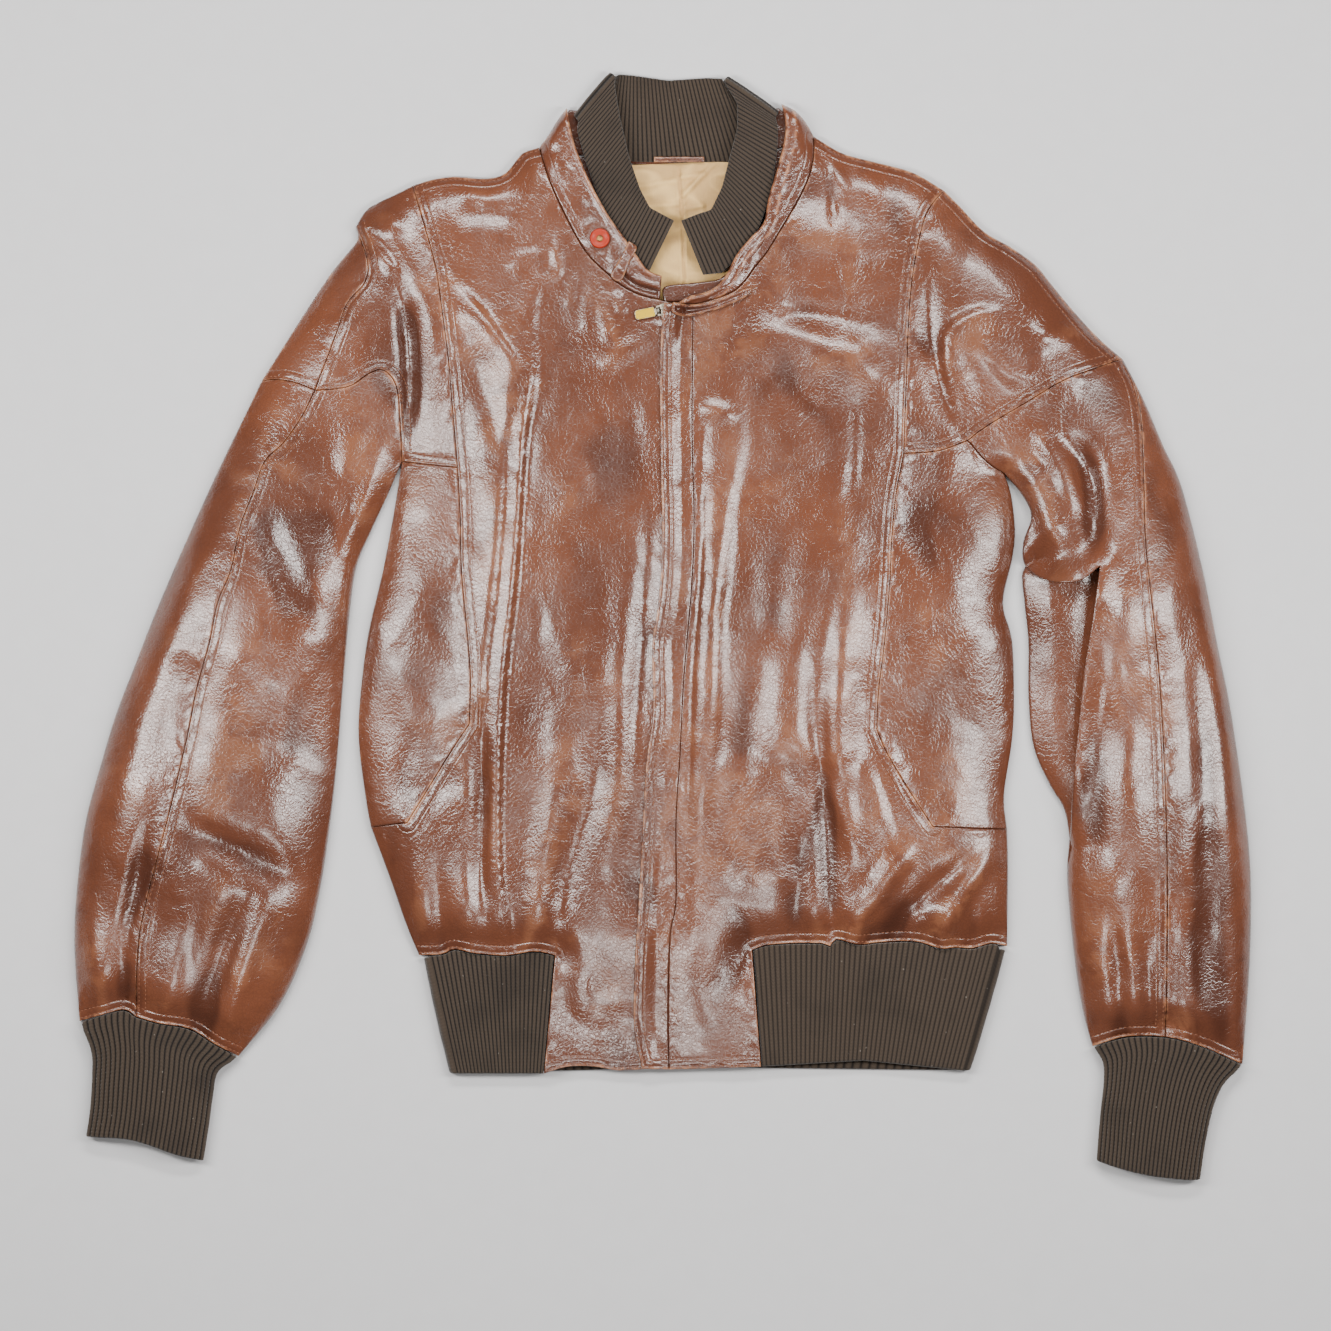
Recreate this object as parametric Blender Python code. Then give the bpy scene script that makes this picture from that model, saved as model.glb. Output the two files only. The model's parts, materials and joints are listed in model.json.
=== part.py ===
# A worn leather blouson, zipped up and laid flat on its back, with knit collar, waistband and cuffs.
# Metres, +Z up, +X to the viewer's right, +Y towards the collar, the origin on the surface under its middle.
import bpy
import bmesh
import math
import numpy as np
from mathutils import Vector
from mathutils.bvhtree import BVHTree
from mathutils.geometry import delaunay_2d_cdt

for old_object in list(bpy.data.objects):
    bpy.data.objects.remove(old_object)

# The outlines below are measured on a picture of the laid-out garment, in its points: right, then down.
# The length of the back from the collar seam to the lower edge of the waistband gives their scale.
BACK_LENGTH = 0.6825
BACK_LENGTH_POINTS = 910.0
POINT = BACK_LENGTH / BACK_LENGTH_POINTS
MIDDLE = (662.5, 626.0)

LEATHER = 0.0020         # thickness of a panel with its lining and glue
LINING = 0.0010
KNIT = 0.0025
RIB_RISE = 0.0010
SEAM_GAP = 0.0003
SEAM_STEP = 0.030        # longest edge along a seam
GRID_STEP = 0.036        # spacing of the points inside a panel
BASE = LEATHER + SEAM_GAP
STEEPEST = 1.7           # the most that a slope thickens a panel's upright measure
DOME_REACH = 0.045       # how far in from a side fold the front reaches its full height
DOME_SLOPE = 2.4
DOME_CROWN = 0.75
LEAST_ROOM = 0.001       # the least height of the hollow under the front
HEIGHT_SPREAD = 0.010    # how far round its place each given height holds
HEIGHT_FALL = 3.0
FOLD_ENDS = 0.15         # the share of a fold's way in that its very end starts with
FOLD_FOOT = 1.3          # the foot of a fold, in half widths from its line
CREST_STEP = 0.028
RIM_ROWS = (0.009, 0.024)
HALF_WIDTH = 0.45        # reach of the grid on either side of the middle
HALF_LENGTH = 0.42
MILLIMETRE = 0.001
FINE_STEP = 0.010
EDGE_SPACE = 0.6         # how near the outline an inner point may lie, as a share of the points' spacing
POINT_SPACE = 0.45       # the least spacing of a panel's inner points, as a share of the grid's
PROBE = 0.001
HEM_REACH = 0.016
KNIT_DROP = 0.0006       # how far a knit edge lies from the leather's seam line
COLLAR_INSIDE = BASE + KNIT
COLLAR_BULGE = 0.0008
COLLAR_FOLD = 0.0021     # inner radius of the collar's side folds
WAIST_FOLD = 0.0024
CUFF_HEIGHT_START = 0.0165
CUFF_HEIGHT_MOUTH = 0.0150
CUFF_UNDERSIDE = 8.0     # the higher, the flatter the section
CUFF_CROWN = 3.2
PLACKET_OVERLAP = 9.0    # picture points
PLACKET_FADE = 2.3       # where the placket comes back down, in overlaps from its edge
LAP_LIFT = 0.0050        # how far the right upper sleeve rolls up over the part under it
LAP_REACH = 0.022
LAP_END = -0.180
LAP_FADE = 0.040
BAND_LEATHER = 1.15 * LEATHER
BAND_END_REACH = 0.010
BAND_RISE_LEFT = (0.0150, 0.0210)     # height of the free edge at the shoulder and at the throat
BAND_RISE_RIGHT = (0.0150, 0.0215)
BAND_RISE_SPAN = 1.3
STRAP_CLEARANCE = 0.0005
STRAP_PROBE = 0.0028     # how far round each of its points a strap clears what it lies on
STRAP_STEP = 0.006
FACING_DROP = LEATHER + 0.0007
UNDER_SLEEVE_SHARE = 0.55
UNDER_SLEEVE_REACH = 0.09
KEEPER_THICKNESS = 0.0014
HANGER_WIDTH = 0.0040
HANGER_RISE = 0.0012
HANGER_THICKNESS = 0.0010
BUTTON_RADIUS = 0.0075
BUTTON_HEIGHT = 0.0034
BUTTON_PLACE = (600.0, 240.0)
TAB_LENGTH = 0.0180
TAB_WIDTH = 0.0076
TAB_THICKNESS = 0.0013
TAB_TURN = math.radians(11.5)
PIVOT_PLACE = (658.5, 312.0)
PIVOT_RADIUS = 0.00065
EYE_HOLE = 0.00095
EYE_RADIUS = 0.0016
EYE_LENGTH = 0.0044
EAR_GAP = 0.0052
EAR_WIDTH = 0.0014
SLIDER_WIDTH = 0.0090
SLIDER_END = 0.0090      # from the pin to the far end of the slider's body
SLIDER_TOP = 0.0012
EAR_BACK = 0.0030
EAR_FRONT = 0.0012
EAR_TOP = 0.0010
TURNING_GAP = 0.0004
PLATE_START = 0.0026     # from the pin to the wide part of the pull tab
TAB_CORNER = 0.0026
SLIDER_HUMP = 0.0052     # how far the placket rises over the slider
SLIDER_REACH = 0.018

# Seams and edges, each from one junction to the next.
SEAMS = {
    "shoulder_left": [(539, 148), (522, 154), (506, 173), (487, 179), (455, 177), (432, 180), (413, 186)],
    "shoulder_tip_left": [(413, 186), (397, 194), (378, 203), (365, 212), (356, 227)],
    "cap_left": [(356, 227), (358, 240), (331, 274), (298, 324), (262, 381)],
    "sleeve_outer_left": [(262, 381), (240, 426), (214, 480), (186, 542), (158, 607), (136, 663),
                          (116, 715), (103, 758), (86, 821), (77, 891), (75, 950), (80, 1021)],
    "cuff_seam_left_a": [(80, 1021), (104, 1014), (125, 1009), (137, 1016)],
    "cuff_seam_left_b": [(137, 1016), (158, 1022), (190, 1028), (215, 1043), (239, 1056)],
    "sleeve_inner_left": [(239, 1056), (280, 1005), (307, 945), (320, 891), (329, 834), (337, 765),
                          (344, 679), (350, 613), (357, 566), (372, 530), (388, 495), (402, 462)],
    "cross_left_a": [(262, 381), (277, 380), (295, 383), (316, 391)],
    "cross_left_b": [(316, 391), (335, 390), (353, 386), (369, 375), (384, 371), (397, 387), (401, 425),
                     (402, 462)],
    "long_left_a": [(356, 227), (368, 261), (366, 283), (348, 305), (338, 333), (316, 391)],
    "long_left_b": [(316, 391), (303, 417), (285, 443), (266, 462), (255, 492), (242, 527), (233, 570),
                    (220, 603), (212, 642), (199, 689), (188, 743), (171, 815), (147, 906), (140, 949),
                    (137, 1016)],
    "princess_left_a": [(413, 186), (422, 216), (436, 266), (443, 312), (449, 360), (453, 408),
                        (458, 468)],
    "princess_left_b": [(458, 468), (461, 520), (462, 570), (468, 635), (471, 678), (470, 724)],
    "pocket_left": [(470, 724), (455, 746), (432, 783), (408, 822)],
    "pocket_base_left": [(408, 822), (371, 827)],
    "yoke_hem_left": [(458, 468), (430, 465), (414, 463), (402, 462)],
    "side_left_a": [(402, 462), (394, 512), (383, 570), (368, 635), (360, 700), (359, 743), (366, 800),
                    (371, 827)],
    "side_left_b": [(371, 827), (390, 878), (405, 921), (419, 955)],
    "hem_left": [(419, 955), (442, 954), (455, 949), (477, 953), (507, 955), (535, 951), (555, 955)],
    "tab_left": [(555, 955), (544, 1073)],
    "tab_hem_left": [(544, 1073), (568, 1066), (594, 1066), (619, 1070), (651, 1068)],
    "throat_left": [(673, 304), (660, 301)],
    "neck_left": [(660, 301), (640, 296), (622, 287), (611, 278), (588, 256), (569, 224), (551, 185),
                  (539, 148)],
    "placket_edge": [(664, 304), (661, 335), (660, 387), (661, 473), (662, 549), (658, 604), (652, 647),
                     (653, 712), (646, 766), (642, 842), (638, 911), (635, 962), (634, 1026),
                     (642, 1068)],
    "placket_hem": [(642, 1068), (669, 1069)],
    "placket_seam": [(669, 1069), (668, 1013), (670, 937), (676, 900), (676, 820), (680, 755), (683, 690),
                     (687, 640), (692, 582), (694, 517), (692, 430), (693, 306)],
    "placket_top_a": [(693, 306), (676, 305)],
    "placket_top_b": [(676, 305), (664, 304)],
    "shoulder_right": [(814, 137), (830, 147), (846, 155), (877, 163), (913, 173), (944, 191)],
    "cap_right": [(944, 191), (959, 206), (984, 232), (1010, 247), (1035, 265), (1050, 283), (1073, 311),
                  (1099, 339), (1122, 359)],
    "sleeve_outer_right": [(1122, 359), (1137, 387), (1147, 408), (1163, 446), (1181, 486), (1202, 568),
                           (1217, 644), (1230, 708), (1243, 797), (1250, 868), (1250, 944), (1246, 1015),
                           (1242, 1064)],
    "cuff_seam_right_a": [(1092, 1046), (1120, 1037), (1142, 1035), (1164, 1036)],
    "cuff_seam_right_b": [(1164, 1036), (1180, 1039), (1204, 1047), (1222, 1055), (1242, 1064)],
    "long_right": [(1122, 359), (1134, 385), (1140, 421), (1142, 484), (1143, 540), (1148, 593),
                   (1156, 670), (1161, 746), (1164, 842), (1165, 919), (1164, 1036)],
    "sleeve_inner_right": [(1092, 1046), (1082, 1008), (1074, 957), (1067, 880), (1069, 840), (1072, 772),
                           (1077, 721), (1082, 670), (1090, 619), (1097, 567)],
    "tongue": [(1097, 567), (1080, 580), (1060, 583), (1039, 578), (1024, 564), (1023, 542), (1031, 516),
               (1021, 494), (1004, 474)],
    "armhole_right": [(1004, 474), (986, 462), (967, 441)],
    "yoke_hem_right_a": [(903, 454), (925, 453), (943, 450), (967, 441)],
    "yoke_hem_right_b": [(967, 441), (984, 428), (1022, 405), (1061, 382), (1086, 372), (1122, 359)],
    "princess_right_a": [(944, 191), (933, 203), (923, 222), (913, 268), (908, 319), (905, 395),
                         (903, 454)],
    "princess_right_b": [(903, 454), (895, 497), (891, 540), (889, 582), (884, 640), (878, 690),
                         (876, 729)],
    "pocket_right": [(876, 729), (886, 752), (908, 789), (932, 826)],
    "pocket_base_right": [(932, 826), (1007, 829)],
    "side_right_a": [(1004, 474), (1011, 495), (1015, 530), (1012, 560), (1003, 603), (1012, 640),
                     (1014, 695), (1012, 740), (1004, 795), (1007, 829)],
    "side_right_b": [(1007, 829), (1008, 868), (1007, 946)],
    "hem_right": [(1007, 946), (990, 943), (973, 948), (955, 947), (940, 948), (914, 941), (880, 942),
                  (859, 944), (836, 939), (830, 946), (822, 943), (791, 943), (765, 945), (752, 950)],
    "tab_right": [(752, 950), (761, 1066)],
    "tab_hem_right": [(761, 1066), (735, 1067), (706, 1068), (669, 1069)],
    "neck_right": [(693, 306), (712, 301), (733, 293), (745, 282), (755, 268), (767, 253), (790, 215),
                   (806, 185), (813, 160), (814, 137)],
    "band_end_left": [(539, 148), (548, 136), (557, 121), (567, 108)],
    "band_free_left": [(567, 108), (571, 130), (577, 151), (590, 182), (606, 212), (618, 230), (629, 245),
                       (638, 258), (648, 271), (662, 277)],
    "band_throat_left": [(662, 277), (660, 301)],
    "band_end_right": [(814, 137), (806, 123), (795, 111), (781, 104)],
    "band_free_right": [(781, 104), (785, 131), (778, 165), (768, 199), (763, 224), (749, 240),
                        (736, 256), (728, 272), (719, 285), (706, 293), (690, 297), (676, 305)],
    "back_hem": [(1007, 946), (800, 948.5), (600, 948.5), (419, 955)],
    "back_neck": [(539, 148), (631, 165), (729, 165), (814, 137)],
    "back_band_top": [(779, 108), (724, 113), (640, 115), (569, 110)],
    "back_band_left": [(569, 110), (541, 147)],
    "back_band_seam": [(541, 147), (631, 164), (729, 164), (812, 136)],
    "back_band_right": [(812, 136), (779, 108)],
    "under_sleeve_edge": [(1034, 560), (1022, 572), (1024, 603), (1028, 644), (1028, 695), (1033, 746),
                          (1049, 784), (1064, 810), (1070, 846)],
    "under_sleeve_return": [(1070, 846), (1080, 838), (1083, 772), (1088, 721), (1093, 670), (1101, 619),
                            (1106, 572)],
    "under_sleeve_top": [(1106, 572), (1070, 566), (1034, 560)],
    "facing_edge": [(664, 303), (664, 288), (690, 284), (716, 281), (727, 275), (733, 281), (722, 291),
                    (708, 298), (690, 302), (677, 303), (664, 303)],
    "latch_edge": [(673, 304), (690, 306), (712, 303), (735, 294), (751, 289), (746, 298), (722, 309),
                   (702, 315), (684, 318), (672, 314), (673, 304)],
    "keeper_edge": [(629, 243), (637, 249), (630, 263), (621, 282), (611, 277), (620, 260), (629, 243)],
    "lining_edge": [(612, 171), (748, 171), (752, 210), (735, 262), (712, 300), (655, 300), (628, 262),
                    (607, 210), (612, 171)],
}

# Each panel's outline, seam by seam; a minus runs the seam backwards.
PANELS = {
    "yoke_left": ["princess_left_a", "yoke_hem_left", "-cross_left_b", "-long_left_a",
                  "-shoulder_tip_left"],
    "yoke_left_back": ["cap_left", "cross_left_a", "-long_left_a"],
    "sleeve_left_outer": ["sleeve_outer_left", "cuff_seam_left_a", "-long_left_b", "-cross_left_a"],
    "sleeve_left_upper": ["long_left_b", "cuff_seam_left_b", "sleeve_inner_left", "-cross_left_b"],
    "side_left": ["princess_left_b", "pocket_left", "pocket_base_left", "-side_left_a", "-yoke_hem_left"],
    "front_left": ["princess_left_a", "princess_left_b", "pocket_left", "pocket_base_left", "side_left_b",
                   "hem_left", "tab_left", "tab_hem_left", "-placket_edge>", "throat_left", "neck_left",
                   "shoulder_left"],
    "placket": ["placket_edge", "placket_hem", "placket_seam", "placket_top_a", "placket_top_b"],
    "front_right": ["-placket_seam", "-tab_hem_right", "-tab_right", "-hem_right", "-side_right_b",
                    "-pocket_base_right", "-pocket_right", "-princess_right_b", "-princess_right_a",
                    "-shoulder_right", "-neck_right"],
    "side_right": ["princess_right_b", "pocket_right", "pocket_base_right", "-side_right_a",
                   "armhole_right", "-yoke_hem_right_a"],
    "yoke_right": ["princess_right_a", "yoke_hem_right_a", "yoke_hem_right_b", "-cap_right"],
    "sleeve_right_upper": ["yoke_hem_right_b", "long_right", "-cuff_seam_right_a", "sleeve_inner_right",
                           "tongue", "armhole_right"],
    "sleeve_right_outer": ["sleeve_outer_right", "-cuff_seam_right_b", "-long_right"],
}
BACK_OUTLINE = ["shoulder_left", "shoulder_tip_left", "cap_left", "cross_left_a", "cross_left_b",
                "side_left_a", "side_left_b", "-back_hem", "-side_right_b", "-side_right_a",
                "armhole_right", "yoke_hem_right_b", "-cap_right", "-shoulder_right", "-back_neck"]
SLEEVE_LEFT_BACK = ["sleeve_outer_left", "cuff_seam_left_a", "cuff_seam_left_b", "sleeve_inner_left",
                    "-cross_left_b", "-cross_left_a"]
SLEEVE_RIGHT_BACK = ["yoke_hem_right_b", "sleeve_outer_right", "-cuff_seam_right_b", "-cuff_seam_right_a",
                     "sleeve_inner_right", "tongue", "armhole_right"]
BAND_LEFT = ["neck_left", "band_end_left", "band_free_left", "band_throat_left"]
BAND_RIGHT = ["-placket_top_a", "neck_right", "band_end_right", "band_free_right"]
BAND_BACK = ["back_band_top", "back_band_left", "back_band_seam", "back_band_right"]
UNDER_SLEEVE = ["under_sleeve_edge", "under_sleeve_return", "under_sleeve_top"]

# Where the front folds down on the back, and so lies lowest.
SIDE_FOLDS = ["shoulder_left", "shoulder_tip_left", "cap_left", "sleeve_outer_left", "sleeve_inner_left",
              "side_left_a", "side_left_b", "shoulder_right", "cap_right", "sleeve_outer_right",
              "side_right_a", "side_right_b", "under_sleeve_edge"]
LOW_SLEEVE_FOLD = [(1070, 846), (1067, 880), (1074, 957), (1082, 1008), (1092, 1046)]

# How high the underside of the front stands at places inside the outline, in millimetres.
HEIGHTS = {
    (520, 380): 18, (800, 380): 20, (520, 700): 18, (780, 700): 20, (480, 900): 17,
    (880, 900): 18, (600, 880): 15, (700, 880): 15, (600, 1040): 7.8, (710, 1040): 7.8,
    (480, 240): 16, (640, 340): 19, (720, 340): 19, (880, 240): 17, (590, 270): 17,
    (780, 260): 17, (1040, 340): 24, (360, 320): 21, (250, 620): 30, (200, 840): 31,
    (140, 960): 23, (1150, 600): 32, (1160, 840): 31, (1160, 980): 24, (400, 440): 12,
    (1000, 450): 15, (400, 740): 15, (970, 740): 15,
}
# Seams that draw the cloth down, each with its height in millimetres.
DRAWN_IN = {"hem_left": 7.6, "hem_right": 7.6, "cuff_seam_left_a": 12, "cuff_seam_left_b": 12,
            "cuff_seam_right_a": 12, "cuff_seam_right_b": 12}
# The largest folds: the line of the crest or trough, its rise and its half width in millimetres.
FOLDS = {
    "front_left_crease": ([(539, 285), (531, 350), (524, 440), (513, 570), (500, 700), (497, 852),
                           (507, 945)], 5, 8),
    "front_left_trough": ([(479, 700), (481, 808), (479, 873), (478, 948)], -6, 7),
    "front_left_second": ([(622, 600), (622, 780), (606, 863), (598, 930)], 4, 9),
    "front_left_slant": ([(452, 330), (490, 340), (525, 372)], -3, 9),
    "yoke_left_fold": ([(404, 262), (407, 330), (404, 400), (402, 455)], -7, 9),
    "yoke_left_ridge": ([(362, 232), (384, 258), (412, 285)], 4, 8),
    "front_right_arc": ([(745, 350), (815, 372), (890, 400)], 4, 20),
    "placket_trough": ([(704, 430), (700, 560), (692, 668), (689, 755), (685, 885)], -4, 7),
    "front_right_ridge": ([(741, 430), (724, 517), (711, 625), (709, 712), (698, 864)], 5, 10),
    "front_right_low_ridge": ([(835, 650), (838, 750), (852, 800), (868, 850)], 5, 9),
    "front_right_pit": ([(822, 720), (821, 770), (826, 830), (830, 943)], -5, 8),
    "front_right_swirl": ([(905, 850), (890, 878), (868, 900)], 5, 10),
    "front_right_slant": ([(970, 862), (930, 890), (893, 930)], -5, 9),
    "front_right_bright": ([(996, 842), (962, 892), (938, 930)], 5, 8),
    "front_right_notch": ([(963, 900), (971, 948)], -4, 6),
    "yoke_right_ridge": ([(1098, 345), (1020, 338), (955, 335), (948, 380), (962, 430)], 4, 10),
    "yoke_right_trough": ([(932, 250), (938, 300), (925, 360), (922, 420)], -3, 12),
    "armpit_trough": ([(1062, 430), (1086, 470), (1093, 520), (1092, 565)], -8, 9),
    "armpit_ridge": ([(990, 445), (1030, 480), (1052, 530), (1056, 575)], 5, 9),
    "armpit_swirl": ([(1030, 425), (1060, 470), (1072, 520)], 3, 8),
    "sleeve_left_upper_trough": ([(252, 500), (285, 575), (322, 640)], -5, 15),
    "sleeve_left_lower_trough": ([(176, 822), (240, 852), (308, 892)], -6, 15),
    "sleeve_left_hem_fold": ([(238, 915), (215, 970), (197, 1030)], -6, 10),
    "sleeve_left_seam_trough": ([(158, 800), (140, 880), (126, 940), (128, 985)], -6, 8),
    "sleeve_left_inner_fold": ([(383, 440), (366, 500), (340, 560), (330, 640)], 4, 9),
    "sleeve_right_seam_trough": ([(1200, 700), (1204, 816), (1207, 919), (1206, 1040)], -6, 9),
    "sleeve_right_gather_a": ([(1118, 960), (1122, 1036)], -4, 6),
    "sleeve_right_gather_b": ([(1146, 975), (1148, 1034)], -4, 6),
    "sleeve_right_gather_c": ([(1184, 985), (1184, 1039)], -3, 6),
}
# The collar's knit, from its right front end round the back to the left one: the free edge, the seam edge,
# how high the inside lies at each in millimetres, and how many ribs follow before the next place.
RIGHT_STRIP = [
    ((681, 222), (703, 276), 19.0, 16.0, 6),
    ((696, 216), (722, 274), 18.5, 16.0, 7),
    ((711, 211), (738, 259), 17.5, 15.5, 10),
    ((722, 188), (759, 229), 15.5, 14.0, 9),
    ((729, 160), (771, 194), 13.5, 12.0, 7),
    ((737, 130), (777, 152), 11.0, 10.5, 5),
    ((738, 104), (776, 124), 9.6, 9.6, 0),
]
BACK_STRIP = [
    ((722, 79), (752, 157), 3),
    ((716, 78), (734, 162), 13),
    ((668, 80), (681, 163), 13),
    ((622, 75), (628, 162), 3),
    ((617, 75), (606, 157), 0),
]
LEFT_STRIP = [
    ((615, 88), (578, 130), 9.6, 9.6, 6),
    ((620, 118), (585, 161), 11.0, 10.5, 8),
    ((629, 157), (598, 197), 13.5, 12.0, 8),
    ((640, 190), (613, 229), 15.5, 14.0, 9),
    ((650, 209), (628, 251), 17.5, 15.5, 7),
    ((674, 222), (649, 273), 19.0, 16.0, 0),
]
RIGHT_CREASE = ((727, 77), (779, 113))
LEFT_CREASE = ((611, 73), (574, 117))
WAIST_RIBS_LEFT = 25
WAIST_RIBS_RIGHT = 47
CUFF_RIBS = 26
CUFF_LEFT = {
    "near": [(82, 1025), (92, 1050), (93, 1074), (91, 1108), (87, 1136)],
    "far": [(238, 1058), (219, 1071), (214, 1095), (209, 1130), (204, 1160)],
    "mouth": [(87, 1136), (124, 1138), (146, 1143), (177, 1154), (204, 1160)],
}
CUFF_RIGHT = {
    "near": [(1093, 1048), (1102, 1060), (1103, 1080), (1099, 1120), (1096, 1160)],
    "far": [(1241, 1066), (1224, 1082), (1213, 1105), (1205, 1140), (1199, 1179)],
    "mouth": [(1096, 1160), (1120, 1168), (1150, 1175), (1184, 1179), (1199, 1179)],
}

COLOURS = {
    "leather": ((0.26, 0.080, 0.040, 1.0), 0.38, 0.0),
    "knit": ((0.062, 0.044, 0.028, 1.0), 0.90, 0.0),
    "lining": ((0.50, 0.37, 0.22, 1.0), 0.75, 0.0),
    "button_red": ((0.55, 0.09, 0.045, 1.0), 0.35, 0.0),
    "tab_yellow": ((0.70, 0.55, 0.05, 1.0), 0.35, 0.0),
    "zip_metal": ((0.60, 0.56, 0.48, 1.0), 0.35, 1.0),
}


def make_material(name):
    colour, roughness, metallic = COLOURS[name]
    material = bpy.data.materials.new(name)
    material.use_nodes = True
    shader = material.node_tree.nodes["Principled BSDF"]
    shader.inputs["Base Color"].default_value = colour
    shader.inputs["Roughness"].default_value = roughness
    shader.inputs["Metallic"].default_value = metallic
    return material


def add_object(name, vertices, faces, colour):
    mesh = bpy.data.meshes.new(name)
    mesh.from_pydata([tuple(v) for v in vertices], [], faces)
    mesh.update()
    mesh.materials.append(make_material(colour))
    made = bpy.data.objects.new(name, mesh)
    bpy.context.scene.collection.objects.link(made)
    return made


def place(points):
    points = np.asarray(points, float).reshape(-1, 2)
    return np.stack([(points[:, 0] - MIDDLE[0]) * POINT, (MIDDLE[1] - points[:, 1]) * POINT], 1)


def smooth_line(points, step):
    # A Catmull-Rom curve through the points, in pieces no longer than the step.
    knots = np.vstack([2 * points[0] - points[1], points, 2 * points[-1] - points[-2]])
    line = []
    for a, b, c, d in zip(knots[:-3], knots[1:-2], knots[2:-1], knots[3:]):
        count = max(1, math.ceil(np.linalg.norm(c - b) / step))
        for t in np.arange(count) / count:
            line.append(0.5 * (2 * b + (c - a) * t + (2 * a - 5 * b + 4 * c - d) * t**2
                               + (3 * b - a - 3 * c + d) * t**3))
    line.append(points[-1])
    return np.array(line)


def seam(name, step=SEAM_STEP):
    points = place(SEAMS[name.strip("->")])
    if name.endswith(">"):
        points = points + (PLACKET_OVERLAP * POINT, 0)
    line = smooth_line(points, step)
    return line[::-1] if name.startswith("-") else line


def outline(names, step=SEAM_STEP):
    # A closed loop from seams whose ends meet, each turned the way that it joins the one before.
    loop = []
    for name in names:
        line = seam(name, step)
        if loop and np.linalg.norm(line[0] - loop[-1]) > np.linalg.norm(line[-1] - loop[-1]):
            line = line[::-1]
        loop += list(line[1:] if loop and np.linalg.norm(line[0] - loop[-1]) < 1e-6 else line)
    if np.linalg.norm(loop[0] - loop[-1]) < 1e-6:
        loop.pop()
    loop = np.array(loop)
    after = np.roll(loop, -1, 0)
    area = (loop[:, 0] * after[:, 1] - loop[:, 1] * after[:, 0]).sum()
    return loop if area > 0 else loop[::-1]


def inset(loop, distance):
    before = loop - np.roll(loop, 1, 0)
    after = np.roll(loop, -1, 0) - loop
    before /= np.linalg.norm(before, axis=1)[:, None]
    after /= np.linalg.norm(after, axis=1)[:, None]
    inward_before = np.stack([-before[:, 1], before[:, 0]], 1)
    inward_after = np.stack([-after[:, 1], after[:, 0]], 1)
    turn = 1 + (inward_before * inward_after).sum(1)
    return loop + distance * (inward_before + inward_after) / np.maximum(turn, 0.25)[:, None]


def nearest(points, line):
    # The distance from each point to a line, and how far along the line the nearest place is.
    starts, spans = line[:-1], line[1:] - line[:-1]
    lengths = np.linalg.norm(spans, axis=1)
    along = ((points[:, None] - starts) * spans).sum(2) / lengths**2
    along = np.clip(along, 0, 1)
    distances = np.linalg.norm(points[:, None] - starts - along[..., None] * spans, axis=2)
    best = distances.argmin(1)
    rows = np.arange(len(points))
    travelled = np.concatenate([[0], np.cumsum(lengths)])[best] + along[rows, best] * lengths[best]
    return distances[rows, best], travelled, lengths.sum()


def soften(value):
    value = np.clip(value, 0, 1)
    return value * value * (3 - 2 * value)


def dome(distance, reach):
    share = np.clip(distance / reach, 0, 1)
    return (1 - (1 - share) ** DOME_SLOPE) ** DOME_CROWN


side_fold_lines = [seam(name, FINE_STEP) for name in SIDE_FOLDS]
side_fold_lines.append(smooth_line(place(LOW_SLEEVE_FOLD), FINE_STEP))
fold_lines = {name: smooth_line(place(fold[0]), FINE_STEP) for name, fold in FOLDS.items()}
drawn_lines = {name: seam(name, FINE_STEP) for name in DRAWN_IN}
height_places = place(list(HEIGHTS))
height_values = np.array(list(HEIGHTS.values())) * MILLIMETRE


def underside(points):
    # The height of the front's lower surface over the surface that the garment lies on.
    points = np.asarray(points, float).reshape(-1, 2)
    away = np.linalg.norm(points[:, None] - height_places, axis=2) + HEIGHT_SPREAD
    weights = away**-HEIGHT_FALL
    height = (weights * height_values).sum(1) / weights.sum(1)
    for name, line in drawn_lines.items():
        distance = nearest(points, line)[0]
        pull = np.exp(-((distance / HEM_REACH) ** 2))
        height = height * (1 - pull) + DRAWN_IN[name] * MILLIMETRE * pull
    for name, line in fold_lines.items():
        rise, width = FOLDS[name][1] * MILLIMETRE, FOLDS[name][2] * MILLIMETRE
        distance, travelled, length = nearest(points, line)
        ends = soften(np.minimum(travelled, length - travelled) / (2 * width) + FOLD_ENDS)
        height = height + rise * ends * np.exp(-((distance / width) ** 2))
    side = np.min([nearest(points, line)[0] for line in side_fold_lines], axis=0)
    return BASE + np.maximum(height - BASE, LEAST_ROOM) * dome(side, DOME_REACH)


def upright_thickness(points, thickness=LEATHER):
    # The upright measure of a panel, which grows where the cloth slopes.
    across = (underside(points + (PROBE, 0)) - underside(points - (PROBE, 0))) / (2 * PROBE)
    along = (underside(points + (0, PROBE)) - underside(points - (0, PROBE))) / (2 * PROBE)
    return thickness * np.minimum(np.sqrt(1 + across**2 + along**2), STEEPEST)


def is_inside(points, loop):
    after = np.roll(loop, -1, 0)
    x, y = points[:, :1], points[:, 1:]
    crosses = (loop[:, 1] > y) != (after[:, 1] > y)
    span = np.where(after[:, 1] == loop[:, 1], 1e-12, after[:, 1] - loop[:, 1])
    at = loop[:, 0] + (y - loop[:, 1]) * (after[:, 0] - loop[:, 0]) / span
    return (crosses & (x < at)).sum(1) % 2 == 1


def beside(line, distance):
    direction = np.gradient(line, axis=0)
    direction /= np.linalg.norm(direction, axis=1)[:, None]
    return line + distance * np.stack([-direction[:, 1], direction[:, 0]], 1)


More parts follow.
